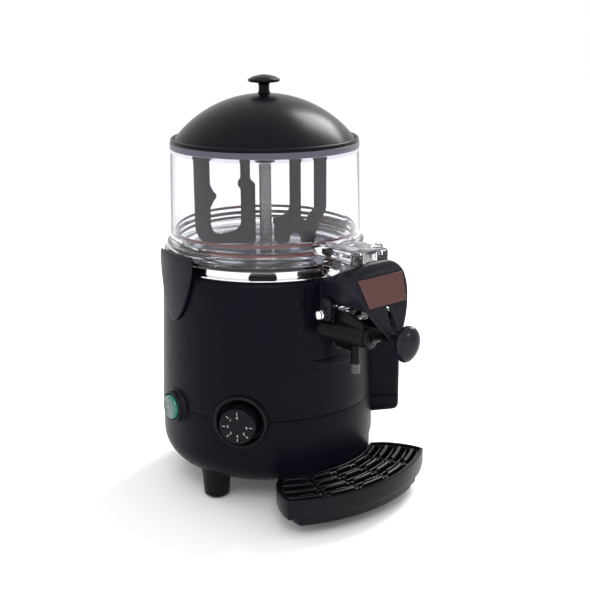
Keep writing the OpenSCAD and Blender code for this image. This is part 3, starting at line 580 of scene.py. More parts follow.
piece("button_face", shifted(solid(face, 72), outward(POWER_AT, CONTROL_Z)), lamp_face, "button", "button",
      sharp=60)

# ---- side box ----

BOX_R, BOX_HALF, BOX_BACK = 151.0, 42.0, 112.0


def box_ring(z, inset, r=8.0):
    corners = [(-BOX_HALF + inset, -BOX_BACK), (BOX_HALF - inset, -BOX_BACK),
               (BOX_HALF - inset, -BOX_R + inset), (-BOX_HALF + inset, -BOX_R + inset)]
    return [(x, y, z) for x, y in rounded(corners, [0, 0, r - inset * 0.5, r - inset * 0.5], 8)]


turn_box = spin(BOX_AT)
levels = [(77, 6), (77.4, 4.2), (78.6, 2.2), (80.6, 0.9), (83.5, 0.15), (86, 0), (96.2, 0), (96.7, 0.15),
          (97, 0.6), (97, 3)]
piece("side_box_cover_cap", shifted(loft([box_ring(z, d) for z, d in levels]), turn_box), casing, "base",
      "casing", ["side_box_cover"])
levels = [(97.4, 3), (97.4, 0.6), (97.7, 0.15), (98.2, 0), (168, 0), (171.5, 0.5), (174, 1.8), (175.5, 3.8),
          (176, 6)]
housing = to_mesh("side_box_housing", shifted(loft([box_ring(z, d) for z, d in levels]), turn_box))
carve(housing, shifted(block((-24.8, -160, 100.5), (-11.2, -138, 123.5), 0.6), turn_box))
dress(housing, casing, "base", "casing", ["side_box"])
screws("box_screws", [turn_box @ move(x, -134, 77) for x in (-30, 30)], 3.2, 1.8, 1.7, 12, "base",
       ["side_box_screws"])

frame_out = rounded([(-9.5, -14), (9.5, -14), (9.5, 14), (-9.5, 14)], 2.4)
frame_in = rounded([(-6.7, -11.4), (6.7, -11.4), (6.7, 11.4), (-6.7, 11.4)], 1.2)
facing_box = turn_box @ move(-18, 0, 112) @ spin(90, "X")
piece("rocker_surround", shifted(plate([frame_out, frame_in], 0.95, 0.4), facing_box @ move(z=BOX_R + 0.75)),
      trim, "base", "trim", ["rocker_frame"])
outline = rounded([(-10.7, -1.2), (-2, -2.3), (0, -2.5), (2.2, -2.7), (10.7, -4.3), (10.2, 0), (7, 7),
                   (-7, 7), (-10.2, 0)],
                  [0.6, 2, 2, 2, 0.7, 1, 0.6, 0.6, 1], 3)
half = 6.1
rings = []
for x, inset in ((-half, 0.5), (-half + 0.15, 0.15), (-half + 0.5, 0), (half - 0.5, 0), (half - 0.15, 0.15),
                 (half, 0.5)):
    rings.append([(x, y * (1 - inset / 8), z * (1 - inset / 11)) for z, y in outline])
piece("rocker_key", shifted(loft(rings), turn_box @ move(-18, -BOX_R, 112)), dial_skin, "rocker", "dial",
      ["mixer_rocker"])

# ---- cord inlet and drain ----

gland = [(3.8, 112.2), (3.8, 130.4), (4.4, 131), (6.6, 131), (7.6, 130.2), (8.6, 129.6), (10.8, 129.2),
         (11.4, 128.6), (11.5, 125.2), (8.1, 124.9), (8.1, 118), (11.4, 118), (11.4, 113.2), (8, 112.2)]


def nut_flats(i, a):
    return 0.55 * (0.5 - 0.5 * math.cos(6 * a)) if 6 <= i <= 8 or 11 <= i <= 12 else 0.0


piece("cord_inlet_gland", shifted(lathe(gland, 72, flutes=nut_flats), outward(180, 80)), trim, "base", "trim",
      ["cord_gland"], sharp=40)

TUBE_Y, TUBE_Z = -147.0, 189.0
spout_shape = [(3.1, 171.6), (3.4, 171.3), (5.0, 171.3), (5.3, 171.7), (5.3, 174.6), (5.1, 175.2),
               (4.9, 178), (4.9, 190.5), (4.6, 192.2), (3.8, 193.4), (2.5, 193.9), (0, 193.9), (0, 189.9),
               (3.1, 189.9)]
spout = to_mesh("drain_spout", shifted(lathe(spout_shape, 56), move(y=TUBE_Y)))
carve(spout, shifted(solid([(0, 110.9), (4.9, 110.9), (4.9, 146.6), (0, 146.6)], 56), outward(0, TUBE_Z)),
      "UNION")
carve(spout, shifted(solid([(0, 109), (3, 109), (3, 147.4), (0, 147.4)], 40), outward(0, TUBE_Z)))
carve(spout, shifted(lathe([(3.4, 182.6), (5.4, 182.6), (5.4, 209.4), (3.4, 209.4)], 40), move(y=-110.8)),
      "UNION")
spout_collar = [(4.8, 119.0), (8.8, 119.4), (9.4, 120.2), (8.8, 121.6), (7, 122.4), (4.8, 122.6)]
dress(spout, trim, "base", "tube", ["drain_tube"], sharp=45)
piece("drain_spout_collar", shifted(lathe(spout_collar, 56), outward(0, TUBE_Z)), trim, "base", "tube",
      sharp=50)
plug_shape = [(0, 160), (3.9, 160), (4.8, 160.5), (5.2, 161.6), (5.2, 163.6), (4.9, 164.0), (4.9, 164.6),
              (5.2, 165), (5.2, 166.6), (4.9, 167), (4.9, 167.6), (5.2, 168), (5.2, 170.2), (4.8, 171),
              (3.0, 171.1), (3.0, 180.4), (2.6, 181), (0, 181)]
piece("drain_stopper", shifted(solid(plug_shape, 56), move(y=TUBE_Y)), grey_plug, "plug", "plug",
      ["drain_plug"], sharp=50)

# ---- drip tray ----

RIM_Z = edge("drip_tray", 2)
FRONT_R, FRONT_C, REAR_R = 185.0, -2.0, 123.6


def front_y(x, inset=0.0):
    return FRONT_C - math.sqrt((FRONT_R - inset) ** 2 - x * x)


side = spline([(72.5, -103.0), (84.5, -112.5), (95.0, -127.5), (102.0, -143.0), (104.2, -153.5)], 5,
              closed=False)
half_line = [(REAR_R * math.sin(a), -REAR_R * math.cos(a)) for a in [math.radians(33.2
    * k / 14) for k in range(15)]]
half_line += [(71.4, -101.9)] + side + arc(93.7, -154.2, 10.5, 0, -58, 8)
half_line += [(x, front_y(x)) for x in [96 - 96 * k / 24 for k in range(2, 25)]]
tray_line = [(-x, y) for x, y in half_line[-2:0:-1]] + half_line


def inset_line(line, inset):
    """The closed outline moved inwards along its corners' normals."""
    n, out = len(line), []
    for i, point in enumerate(line):
        a, b = (Vector(point) - Vector(line[i - 1])).normalized(), (Vector(line[(i + 1) % n])
            - Vector(point)).normalized()
        normal = Vector((a.y + b.y, -a.x - b.x)).normalized()
        out.append(tuple(Vector(point) + normal * inset / max(0.6, normal.dot(Vector((a.y, -a.x))))))
    return out


turn_sign = sum(a[0] * b[1] - b[0] * a[1] for a, b in zip(tray_line, tray_line[1:] + tray_line[:1]))
IN = 1.0 if turn_sign < 0 else -1.0


def tray_ring(z, inset, narrow=0.0):
    """One ring of the tray. narrow draws the ends of the lower tier in, more at the right."""
    ring = []
    for x, y in inset_line(tray_line, inset * IN):
        pull = narrow * (9 * smooth((-x - 62) / 34) if x < 0 else 26 * smooth((x - 44) / 48))
        nx = x - math.copysign(pull, x)
        if y < -150:
            y += (front_y(nx, inset) - front_y(x, inset)) * smooth((-150 - y) / 8)
            y = max(y, front_y(nx, inset))
        ring.append((nx, y, z))
    return ring


levels = [(18.9, 13, 1), (18.9, 6.2, 1), (18.3, 5.6, 1), (15.7, 5.6, 1), (15.1, 5.1, 1), (15.0, 3.6, 1),
          (15.5, 2.4, 1), (16.6, 1.7, 1), (21.0, 1.5, 1), (21.8, 1.9, 0.96), (22.2, 2.6, 0.8),
          (22.2, 2.9, 0.35), (22.2, 3.2, 0.0), (22.5, 1.9, 0), (23.4, 0.9, 0), (25.2, 0.2, 0), (27.5, 0, 0),
          (43.7, 0, 0), (44.6, 0.35, 0), (45, 1.1, 0), (45, 2.2, 0), (44.5, 2.9, 0), (43.8, 3, 0),
          (38.9, 3, 0), (38.5, 3.3, 0), (38.4, 4.4, 0), (38.0, 5, 0), (24.4, 5, 0), (23.6, 5.6, 0.4),
          (22.4, 6.4, 1), (21.9, 7.6, 1), (21.7, 13, 1)]
tray = to_mesh("tray_pan", loft([tray_ring(*level) for level in levels]))
for s in (-1, 1):
    carve(tray, block((s * 30 - 8, -150, 10), (s * 30 + 8, -90, 18.9), 0), folded=True)
dress(tray, tray_skin, "tray", "tray", ["drip_tray"], sharp=42)

# front wall: a strip a little proud of the pan, with rounded ends and a step above its lower edge
profile = [(-3.2, 44.0), (-2.6, 44.9), (-1.2, 45.25), (0.1, 45.1), (0.8, 44.3), (0.9, 43.4), (0.9, 26.6),
           (0.75, 25.8), (-0.1, 24.9), (-0.3, 24.0), (-0.35, 17.2), (-0.7, 16.0), (-1.5, 15.2), (-2.6, 15.0),
           (-3.3, 15.8), (-3.3, 30)]
rings, span_x = [], (-95.6, 97.2)
for k in range(97):
    x = span_x[0] + (span_x[1] - span_x[0]) * k / 96
    x -= 1.5 * math.sin(math.pi * 2 * k / 96)
    end = min(x - span_x[0], span_x[1] - x)
    curl = max(0.0, 1 - end / 5.0)
    lift = 1.6 * (1 - math.sqrt(max(0.0, 1 - curl * curl)))
    pull = 1.9 * (1 - math.sqrt(max(0.0, 1 - curl * curl)))
    low = 15 + 6.8 * smooth((x - 58) / 11) + lift
    way = Vector((x, front_y(x) - FRONT_C)).normalized()
    ring = []
    for o, z in profile:
        o = o - (pull if o > -3 else 0)
        z = low + (z - 15) * (24.0 - low) / 9.0 if z < 24.0 else z
        if low > 23.9 and z < low:
            z = low
        ring.append((way.x * (FRONT_R + o), FRONT_C + way.y * (FRONT_R + o), z))
    rings.append(ring)
piece("tray_front_wall", loft(rings), tray_skin, "tray", "tray", sharp=40)

# grid: a low lattice under raised bars in four curved rows
GRID_TOP = edge("drip_grid", 2)
GRID_LOW = RIM_Z - 6.3
RIBS = [13.4 * (k - 2.5) for k in range(6)]


def side_limit(r, inset=5.0):
    """Half angle, round the front curve's centre, that a row can take inside the tray's sides."""
    inner = inset_line(tray_line, inset * IN)
    best = 0.0
    for tenth in range(100, 460):
        a = math.radians(tenth / 10)
        x, y = r * math.sin(a), FRONT_C - r * math.cos(a)
        inside = False
        for (x1, y1), (x2, y2) in zip(inner, inner[1:] + inner[:1]):
            if (y1 > y) != (y2 > y) and x < (x2 - x1) * (y - y1) / (y2 - y1) + x1:
                inside = not inside
        if not inside:
            break
        best = tenth / 10
    return best


def arc_bar(r, a0, a1, half_w, low, top, ends=0.0, n=10):
    """A bar along an arc with a domed section and, if ends is given, rounded ends."""
    rings = []
    for k in range(n + 1):
        t = k / n
        if ends:
            t = 0.5 - 0.5 * math.cos(math.pi * t)
        a = math.radians(a0 + (a1 - a0) * t)
        run = min(t, 1 - t) * abs(math.radians(a1 - a0)) * r
        swell = 1.0 if not ends else math.sqrt(max(0.04, 1 - max(0.0, 1 - run / ends) ** 2))
        ring = []
        for w, h in ((-1, 0), (-1, 0.5), (-0.88, 0.78), (-0.52, 0.95), (0, 1), (0.52, 0.95), (0.88, 0.78),
                     (1, 0.5), (1, 0)):
            rr = r + w * half_w * swell
            ring.append((rr * math.sin(a), FRONT_C - rr * math.cos(a),
                         low + (top - low) * h * (swell if h > 0.5 else 1)))
        rings.append(ring)
    return loft(rings)


parts = []
for i in range(4):
    r = 127 + 15.3 * i
    limit = side_limit(r)
    parts.append(arc_bar(r, -limit, limit, 2.2, GRID_LOW, GRID_LOW + 3.0, n=36))
    gap = math.degrees(4.0 / r)
    cuts = [-limit + 0.3] + [a for a in RIBS if abs(a) < limit - 2] + [limit - 0.3]
    for start, stop in zip(cuts, cuts[1:]):
        start, stop = start + (gap if start > -limit + 1 else 0), stop - (gap if stop < limit - 1 else 0)
        if math.radians(stop - start) * r > 7:
            parts.append(arc_bar(r, start, stop, 2.2, GRID_LOW + 1.6, GRID_TOP, ends=2.2, n=22))
    if i < 3:
        mid = r + 7.65
        limit = side_limit(mid)
        parts.append(arc_bar(mid, -limit, limit, 1.3, GRID_LOW, GRID_LOW + 2.6, n=36))
        for start, stop in zip(RIBS, RIBS[1:]):
            if i == 2:
                middle = (start + stop) / 2
                parts.append(arc_bar(mid + 1.6, middle - 2.6, middle + 2.6, 1.2, GRID_LOW + 1.4,
                                     GRID_LOW + 4.4, ends=1.2, n=14))
for a in RIBS:
    rib = block((-1.6, -180.5, GRID_LOW), (1.6, -126.5, GRID_LOW + 3.2), 0.7, 2)
    if abs(a) < 30:
        parts.append(shifted(rib, move(y=FRONT_C) @ spin(a)))
rim_rings = [tray_ring(GRID_LOW, 3.5), tray_ring(GRID_LOW + 3.0, 3.5), tray_ring(GRID_LOW + 3.6, 4.1),
             tray_ring(GRID_LOW + 3.6, 5.6), tray_ring(GRID_LOW + 3.0, 6.4), tray_ring(GRID_LOW, 6.4)]
parts.append(loft(rim_rings, ring_loop=True, caps=False))
piece("tray_grid", joined(*parts), grid_skin, "grid", "grid", ["drip_grid"], sharp=50)

# ---- bowl ----

FLOOR = 274.0
FLANGE = edge("bowl", 0)
wall = rounded([(0, FLOOR - 3), (103.2, FLOOR - 3), (103.2, 273), (FLANGE, 273), (FLANGE, 277.5),
                (113, 279.5), (112.2, 287), (109.6, 291), (108.4, 292.5), (105.7, 390.3), (101.5, 390.3),
                (102.3, 386), (104.6, 297), (102.5, 284), (97, 276), (92, 274), (0, FLOOR)],
               [0, 0.4, 0.3, 1.2, 1.6, 1.2, 2.4, 1.5, 3, 0.3, 0.3, 3, 6, 5, 5, 5, 0], 5, closed=False)
bowl = to_mesh("clear_bowl", solid(wall, 160))
BLOCK_W, BLOCK_FRONT, VALVE_Y = 24.0, 173.0, 160.0
outline = rounded([(-BLOCK_W, -100), (BLOCK_W, -100), (BLOCK_W, -BLOCK_FRONT), (-BLOCK_W, -BLOCK_FRONT)],
                  [0, 0, 7, 7], 8)


def block_ring(z, inset):
    return [(x * (1 - inset / BLOCK_W), y + inset if y < -110 else y, z) for x, y in outline]


outlet = loft([block_ring(z, d) for z, d in ((269, 1.2), (269.5, 0.4), (270.5, 0), (295.5, 0), (297.6, 0.5),
                                             (298.7, 1.5), (299, 2.8))])
chamber = shifted(solid([(0, 246.4), (11.8, 246), (12.5, 246.7), (12.5, 275), (0, 275)], 56),
                  move(y=-VALVE_Y))
outlet_solid = to_mesh("outlet", outlet)
carve(outlet_solid, chamber, "UNION")
carve(outlet_solid, solid([(0, 200), (106.4, 200), (106.4, 330), (0, 330)], 160))
carve(outlet_solid, lathe([(100, 262), (FLANGE + 4, 262), (FLANGE + 4, 272.9), (100, 272.9)], 160))
outlet_points = [(Vector(v.co) - at(0, 0, 0)) / MM for v in outlet_solid.data.vertices]
outlet_shape = [tuple(p) for p in outlet_points], [tuple(p.vertices) for p in outlet_solid.data.polygons]
bpy.data.objects.remove(outlet_solid)
carve(bowl, outlet_shape, "UNION")
carve(bowl, shifted(solid([(0, 240), (10, 240), (10, 295.6), (0, 295.6)], 56), move(y=-VALVE_Y)))
carve(bowl, block((-8, -VALVE_Y, FLOOR + 1), (8, -90, FLOOR + 12), 1.2))
carve(bowl, solid([(0, 260), (7.05, 260), (7.05, 290), (0, 290)], 48))
carve(bowl, shifted(solid([(0, 292), (3.6, 292), (3.6, 310), (0, 310)], 32), move(14, -VALVE_Y - 3)))
dress(bowl, clear_plastic, "bowl_unit", "bowl", ["bowl"], sharp=32)

rim_band = rounded([(101.4, 390.45), (105.75, 390.45), (105.9, 391.2), (105.9, 396.2), (105.4, 397),
                    (101.6, 397), (101.0, 396.2)],
                   [0.4, 0.3, 0.8, 0.6, 0.6, 0.5, 0.5], 3)
piece("bowl_rim_band", lathe(rim_band, 160), frosted, "bowl_unit", "bowl", sharp=45)
cap_shape = [(0, 292.3), (3.45, 292.3), (3.45, 299.1), (6.8, 299.1), (6.8, 301.4), (6.4, 302.3),
             (5.4, 302.6), (5.1, 303.2), (4.6, 303.9), (2.6, 304.2), (0, 304.25)]
piece("vent_cap_dome", shifted(solid(cap_shape, 56), move(14, -VALVE_Y - 3)), clear_plastic, "bowl_unit",
      "bowl", ["vent_cap"], sharp=45)
tube_top = edge("centre_tube", 2)
tube_shape = [(5.6, 267.7), (7, 267.7), (7, 274.1), (11, 274.1), (11, 275.3), (10.6, 275.6), (7.4, 275.7),
              (7.02, 276.4), (7, 280), (7, tube_top - 0.8), (6.7, tube_top), (5.9, tube_top),
              (5.6, tube_top - 0.4)]
piece("centre_column", lathe(tube_shape, 64), steel, "bowl_unit", "steel", ["centre_tube"], sharp=40)
foot_seal = [(11.2, 274.05), (14.6, 274.05), (14.9, 274.9), (14.2, 276.0), (12.4, 276.4), (11.3, 275.8)]
piece("column_seal", lathe(foot_seal, 64), gasket, "bowl_unit", "seal", sharp=50)
bands = [lathe([(r - 0.5, z), (r, z + 0.3), (r, z + 3.1), (r - 0.5, z + 3.4)], 160) for r,
         z in ((104.3, 296.4), (102.6, 284.2))]
piece("bowl_inner_bands", joined(*bands), gasket, "bowl_unit", "seal", sharp=50)

# ---- handles ----


def tongue_ring(outline, inset, depth_r, spine=None, share=0.0):
    """One ring of a handle: the outline moved in, or drawn towards its spine, laid on a radius."""
    n, ring = len(outline), []
    for i, (x, z) in enumerate(outline):
        before, after = Vector(outline[i - 1]), Vector(outline[(i + 1) % n])
        along = (after - before).normalized()
        px, pz = x - along.y * inset, z + along.x * inset
        if spine:
            sx, sz = spine(px, pz)
            px, pz = px + (sx - px) * share, pz + (sz - pz) * share
        r = depth_r(px, pz)
        ring.append((r * math.sin(px / r), -r * math.cos(px / r), pz))
    return ring


half_handle = [(0, 283.6), (31, 283.6), (34.6, 281), (34.2, 270), (31.8, 258), (28.8, 248), (25.2, 238),
               (21.0, 229), (16.0, 220.6), (9.2, 213.4), (0, 208.2)]
handle_line = [(-x, z) for x, z in half_handle[:0:-1]] + half_handle[:-1]
handle_line = spline(handle_line, 4)


def handle_out(x, z):
    bow = 0.5 * math.sin(math.pi * min(1.0, max(0.0, (z - 208) / 76)))
    top = 0.9 * smooth((z - 277.5) / 6.2)
    return 122.7 + bow - top


def handle_spine(x, z):
    return 0.0, min(max(z, 232.0), 262.0)


sign = -1 if sum(a[0] * b[1] - b[0] * a[1] for a, b in zip(handle_line,
                                                           handle_line[1:] + handle_line[:1])) < 0 else 1
HANDLE_IN, EDGE_ROUND = 120.7, 1.5


def flat(radius):
    return lambda x, z: radius


def under(depth):
    return lambda x, z: handle_out(x, z) - depth


layers = [(0, flat(HANDLE_IN), 1.0), (0, flat(HANDLE_IN), 0.9), (0, flat(HANDLE_IN), 0.5),
          (0.9, flat(HANDLE_IN), 0), (0.2, flat(120.85), 0), (0, flat(121.1), 0), (0, under(0.6), 0),
          (0.25, under(0.25), 0), (0.7, under(0.06), 0)]
layers += [(EDGE_ROUND, handle_out, share) for share in (0, 0.15, 0.35, 0.6, 0.85, 1.0)]
rings = [tongue_ring(handle_line, inset * sign, radius, handle_spine if share else None, share)
         for inset, radius, share in layers]
tongue = loft(rings, caps=False)
hook = [(113.3, 282.2), (121.5, 282.2), (121.5, 270.6), (FLANGE + 0.4, 274.2), (FLANGE + 0.35, 277.7),
        (113.3, 279.8)]
hook_rings = []
for k in range(25):
    a = math.radians(-13.4 + 26.8 * k / 24)
    shrink = 0.35 if k in (0, 24) else 0.0
    hook_rings.append([((r if r > 118 else r + shrink) * math.sin(a),
                        -(r if r > 118 else r + shrink) * math.cos(a), z - (shrink if z > 281 else 0)) for r,
                        z in rounded(hook, [0.8, 0.4, 0.3, 0.2, 0.2, 0.3], 3)])
hook_shape = loft(hook_rings)
HANDLE_AT = 97
for name, node, angle in (("handle_tongue_left", "handle_left", -HANDLE_AT),
                          ("handle_tongue_right", "handle_right", HANDLE_AT)):
    piece(name, shifted(joined(tongue, hook_shape), spin(angle)), hood_skin, "bowl_unit", "casing", [node],
          sharp=40)
fixings = [spin(s * HANDLE_AT + t) @ move(y=-FLANGE + 2.6, z=273) for s in (-1, 1) for t in (-9, 9)]
screws("handle_fixings", fixings, 2.6, 0.8, 1.2, 3.8, "bowl_unit", ["handle_screws"])

# ---- tap hood ----

LEAN = math.radians(22.8)
SHIELD_Y, SHIELD_Z = -181.0, 275.0
PIN_Y, PIN_Z = -138.0, 232.0
NORMAL = Vector((0, -math.cos(LEAN), math.sin(LEAN)))


def shield_y(z):
    return SHIELD_Y + (z - SHIELD_Z) * math.tan(LEAN)


half_hood = [(0, 289.8), (14, 288.9), (25, 285.6), (33.2, 280.2), (37.2, 274), (37.2, 264), (35.4, 256),
             (32.4, 248.6), (28.6, 240.8), (23.8, 233), (18.6, 226), (13.4, 219.6), (9.8, 214.6),
             (7.6, 213.4), (3.4, 213.4)]
hood_line = spline([(-x, z) for x, z in half_hood[:0:-1]] + half_hood, 4, closed=False)


def bulge(x, z):
    """How far the hood's forehead stands out of the shield's plane."""
    if z < 275.5:
        return 0.0
    t = (z - 275.5) / 14.3
    return 3.6 * math.sin(math.pi * min(t, 1)) ** 0.8 * max(0.0, 1 - (x / 35) ** 2)


def on_shield(x, z, lift=0.0):
    up = bulge(x, z) + lift
    return (x, shield_y(z) + NORMAL.y * up, z + NORMAL.z * up)


def hood_ring(inset, back=0.0, share=0.0):
    ring, n = [], len(hood_line)
    for i, (x, z) in enumerate(hood_line):
        before, after = Vector(hood_line[max(i - 1, 0)]), Vector(hood_line[min(i + 1, n - 1)])
        along = (after - before).normalized()
        px, pz = x + along.y * inset, z - along.x * inset
        if share:
            sz = min(max(pz, 236.0), 272.0)
            sx = math.copysign(min(3.2, abs(px)), px) if pz < 244 else 0.0
            px, pz = px + (sx - px) * share, pz + (sz - pz) * share
        ring.append(on_shield(px, pz, -back))
    return ring


def wall_ring(share):
    """A ring of the hood's side wall, from the casing (0) to just behind the shield's edge (1)."""
    ring = []
    for x, z in hood_line:
        edge_y = shield_y(z) + 3.2
        to_body = smooth((z - 243.0) / 7.0) * smooth((abs(x) - 22.0) / 3.0)
        back_x = x + (math.copysign(min(abs(x), 25.3), x) - x) * to_body
        body_y = -math.sqrt(120.9 ** 2 - back_x ** 2)
        back_y = edge_y + (body_y - edge_y) * to_body
        drop = (8.0 * smooth((264 - z) / 18) + max(0.0, z - 261.0)) * to_body
        flare = (1 - share) ** 2.2
        ring.append((x + (back_x - x) * flare, back_y + (edge_y - back_y) * share,
                     z - drop * (1 - share) ** 1.2))
    return ring


rings = [wall_ring(t) for t in (0, 0.06, 0.14, 0.26, 0.4, 0.55, 0.7, 0.85, 1.0)]
rings += [hood_ring(0.12, 1.9), hood_ring(0.5, 0.9), hood_ring(1.2, 0.28), hood_ring(2.3, 0.0)]
rings += [hood_ring(2.3, 0.0, share) for share in (0.12, 0.26, 0.42, 0.58, 0.74, 0.88, 1.0)]
hood = to_mesh("hood_cover", loft(rings, caps=False, open_rings=True))
bm = bmesh.new()
bm.from_mesh(hood.data)
bm.normal_update()
front = min(bm.faces, key=lambda f: f.calc_center_median().y)
if front.normal.y > 0:
    bmesh.ops.reverse_faces(bm, faces=bm.faces[:])
bm.to_mesh(hood.data)
bm.free()
mod = hood.modifiers.new("thick", "SOLIDIFY")
mod.thickness, mod.offset, mod.use_even_offset, mod.use_rim = 2.9 * MM, -1.0, True, True
settle(hood)
carve(hood, block((-24.4, -BLOCK_FRONT - 0.4, 268.5), (24.4, -80, 320), 0.0), folded=True)
slot_line = rounded([(-3, 190), (3, 190), (3, 243), (-3, 243)], [0, 0, 2.4, 2.4], 5)
carve(hood, shifted(plate([slot_line], 40, 0.0, 0), move(y=-205) @ spin(90, "X")), folded=True)
dress(hood, hood_skin, "bowl_unit", "casing", ["tap_hood"], sharp=40)

ear_line = rounded([(-8, -8), (8, -8), (8, 16), (-8, 16)], [7.5, 7.5, 6, 6], 8)
ear_hole = [(4.06 * math.cos(2 * math.pi * k / 40), 4.06 * math.sin(2 * math.pi * k / 40)) for k in range(40)]
ear = plate([ear_line, ear_hole], 2.0, 0.5)
ear_turn = spin(90) @ spin(90, "X")
piece("hood_ears", joined(*[shifted(ear, move(s * 34.3, PIN_Y, PIN_Z) @ ear_turn) for s in (-1, 1)]),
      hood_skin, "bowl_unit", "casing")

# name plate, left blank
label = rounded([(-32.6, 274.3), (32.6, 274.3), (26.8, 246.2), (-26.8, 246.2)], 1.0, 4)
LABEL_Z = 261.0


def label_ring(inset, lift):
    ring = []
    for x, z in label:
        px = x * (1 - inset / 30)
        pz = LABEL_Z + (z - LABEL_Z) * (1 - inset / 14)
        ring.append((px, shield_y(pz) + NORMAL.y * lift, pz + NORMAL.z * lift))
    return ring


piece("blank_plate", loft([label_ring(0.2, 0.02), label_ring(0, 0.3), label_ring(0, 1.1),
                           label_ring(0.25, 1.55), label_ring(0.8, 1.8), label_ring(1.5, 1.8),
                           label_ring(1.8, 1.66), label_ring(2.4, 1.6)]), brown, "bowl_unit", "label",
      ["label_plate"], sharp=30)

# ---- lever ----

pin_profile = [(0, -48), (3.6, -48), (4.7, -47.4), (5.0, -46.4), (5.0, -45.6), (4.55, -45.2), (4.55, -44.6),
               (5.0, -44.2), (5.0, -38.4), (4.6, -37.7), (4.0, -37.5), (4.0, 37), (5.1, 37.1), (5.4, 37.5),
               (5.4, 39), (5.0, 39.5), (0, 39.6)]


def knurl(i, a):
    return 0.22 * (0.5 - 0.5 * math.cos(26 * a)) if 7 <= i <= 8 else 0.0


piece("pivot_pin", shifted(solid(pin_profile, 104, flutes=knurl), move(y=PIN_Y, z=PIN_Z) @ spin(90, "Y")),
      chrome, "bowl_unit", "bright_steel", ["tap_pin"], sharp=45)

ARM_Z, ARM_R = 212.5, 11.5
rear, front_end = Vector((29.0, -126.0)), Vector((17.5, -189.0))
run = (front_end - rear).length
arm_profile = [(0, 0), (8.6, 0.0), (10.4, 0.7), (11.2, 2.0), (ARM_R, 3.8), (ARM_R, 20), (ARM_R, 40),
               (ARM_R, run - 6.3), (11.2, run - 5.7), (10.2, run - 5.5), (10.2, run - 4.2),
               (11.2, run - 4.0), (ARM_R, run - 3.4), (ARM_R, run - 1.6), (11.1, run - 0.5), (10.0, run),
               (0, run)]
arm_turn = math.degrees(math.atan2(rear.x - front_end.x, rear.y - front_end.y))
lever = None
for s in (-1, 1):
    arm = shifted(solid(arm_profile, 72), move(s * rear.x, rear.y, ARM_Z) @ spin(-s * arm_turn)
                  @ spin(90, "X"))
    boss = shifted(solid([(0, 21), (7.4, 21), (8, 21.6), (8, 31.2), (7.4, 31.8), (0, 31.8)], 48),
                   move(y=PIN_Y, z=PIN_Z) @ spin(s * 90, "Y"))
    web = block((min(s * 21.4, s * 31.4), PIN_Y - 7.9, ARM_Z), (max(s * 21.4, s * 31.4), PIN_Y + 7.9, PIN_Z),
                0.6)
    cheek_line = rounded([(-131, 213), (-131, 235), (-140, 238), (-171, 232.5), (-183, 228), (-184, 213)],
                         [0, 3, 6, 6, 5, 0], 4)
    cheek = shifted(plate([cheek_line], 2.3, 0.5), move(x=s * 23.7) @ ear_turn)
    for shape in (arm, boss, web, cheek):
        lever = to_mesh("lever_fork", shape) if lever is None else carve(lever, shape, "UNION")
rod_shape = shifted(solid([(0, -20), (7.5, -20), (7.5, 20), (0, 20)], 48),
                    move(y=-184, z=ARM_Z) @ spin(90, "Y"))
carve(lever, rod_shape, "UNION")
carve(lever, block((-2.2, -216, ARM_Z - 9), (2.2, -180, ARM_Z + 5), 0.7), "UNION")
carve(lever, shifted(solid([(0, -40), (4.08, -40), (4.08, 40), (0, 40)], 48),
                     move(y=PIN_Y, z=PIN_Z) @ spin(90, "Y")))
dress(lever, trim, "lever", "trim", ["lever_yoke"], sharp=40)

egg = []
for i in range(33):
    t = math.radians(-90 + i * 180 / 32)
    egg.append((max(0.0, 13 * math.cos(t) * (1 + 0.10 * math.sin(t))), 20.5 * math.sin(t)))
piece("lever_grip", shifted(solid(egg, 96), move(0, -221, 210) @ spin(13, "X")), knob_skin, "lever", "knob",
      ["lever_knob"], sharp=60)

# ---- lid ----

RIM = edge("lid", 0)
DOME_R, DOME_TOP, BOWL_TOP = 127.8, edge("lid", 2), 397.0
dome_c = DOME_TOP - DOME_R
dome = [(101.2, BOWL_TOP + 0.1), (104.6, BOWL_TOP + 0.1), (105.1, BOWL_TOP + 0.5), (RIM, BOWL_TOP + 1.4),
        (RIM, BOWL_TOP + 2.8), (104.8, BOWL_TOP + 3.7), (104.0, BOWL_TOP + 4.2), (102.6, BOWL_TOP + 4.35)]
dome += [(x, z) for x, z in arc(0, dome_c, DOME_R, 37.6, 89.0, 40)]
dome += [(2.2, DOME_TOP), (2.2, DOME_TOP - 2.8)] + [(x, z) for x,
                                                    z in arc(0, dome_c, DOME_R - 2.8, 88.6, 40, 24)]
dome += [(97.6, 394.2), (98.0, 393.7), (100.2, 393.7), (100.6, 394.2)]
piece("lid_dome", lathe(dome, 176), lid_skin, "lid", "casing", ["lid"], sharp=40)
T = DOME_TOP
knob_line = rounded([(2.1, T + 0.1), (7.4, T + 0.1), (6.9, T + 1.0), (6.1, T + 2.2), (6.0, T + 6),
                     (6.0, T + 9.4), (7.4, T + 11), (16.6, T + 12.4), (18, T + 13.6), (17.4, T + 15.6),
                     (12, T + 18.4), (5, T + 20.0), (0, T + 20.6), (0, T + 10.6), (2.1, T + 10.6)],
                     [0, 0.6, 1, 2, 3, 3, 2, 1, 1, 1.6, 8, 8, 0, 0, 0], 4)
piece("lid_top_knob", lathe(knob_line, 72), lid_skin, "lid", "trim", ["lid_knob"], sharp=45)
screws("lid_fixing", [move(z=DOME_TOP - 2.9)], 4.6, 2.4, 1.95, 11, "lid", ["lid_screw"])

# ---- paddle ----

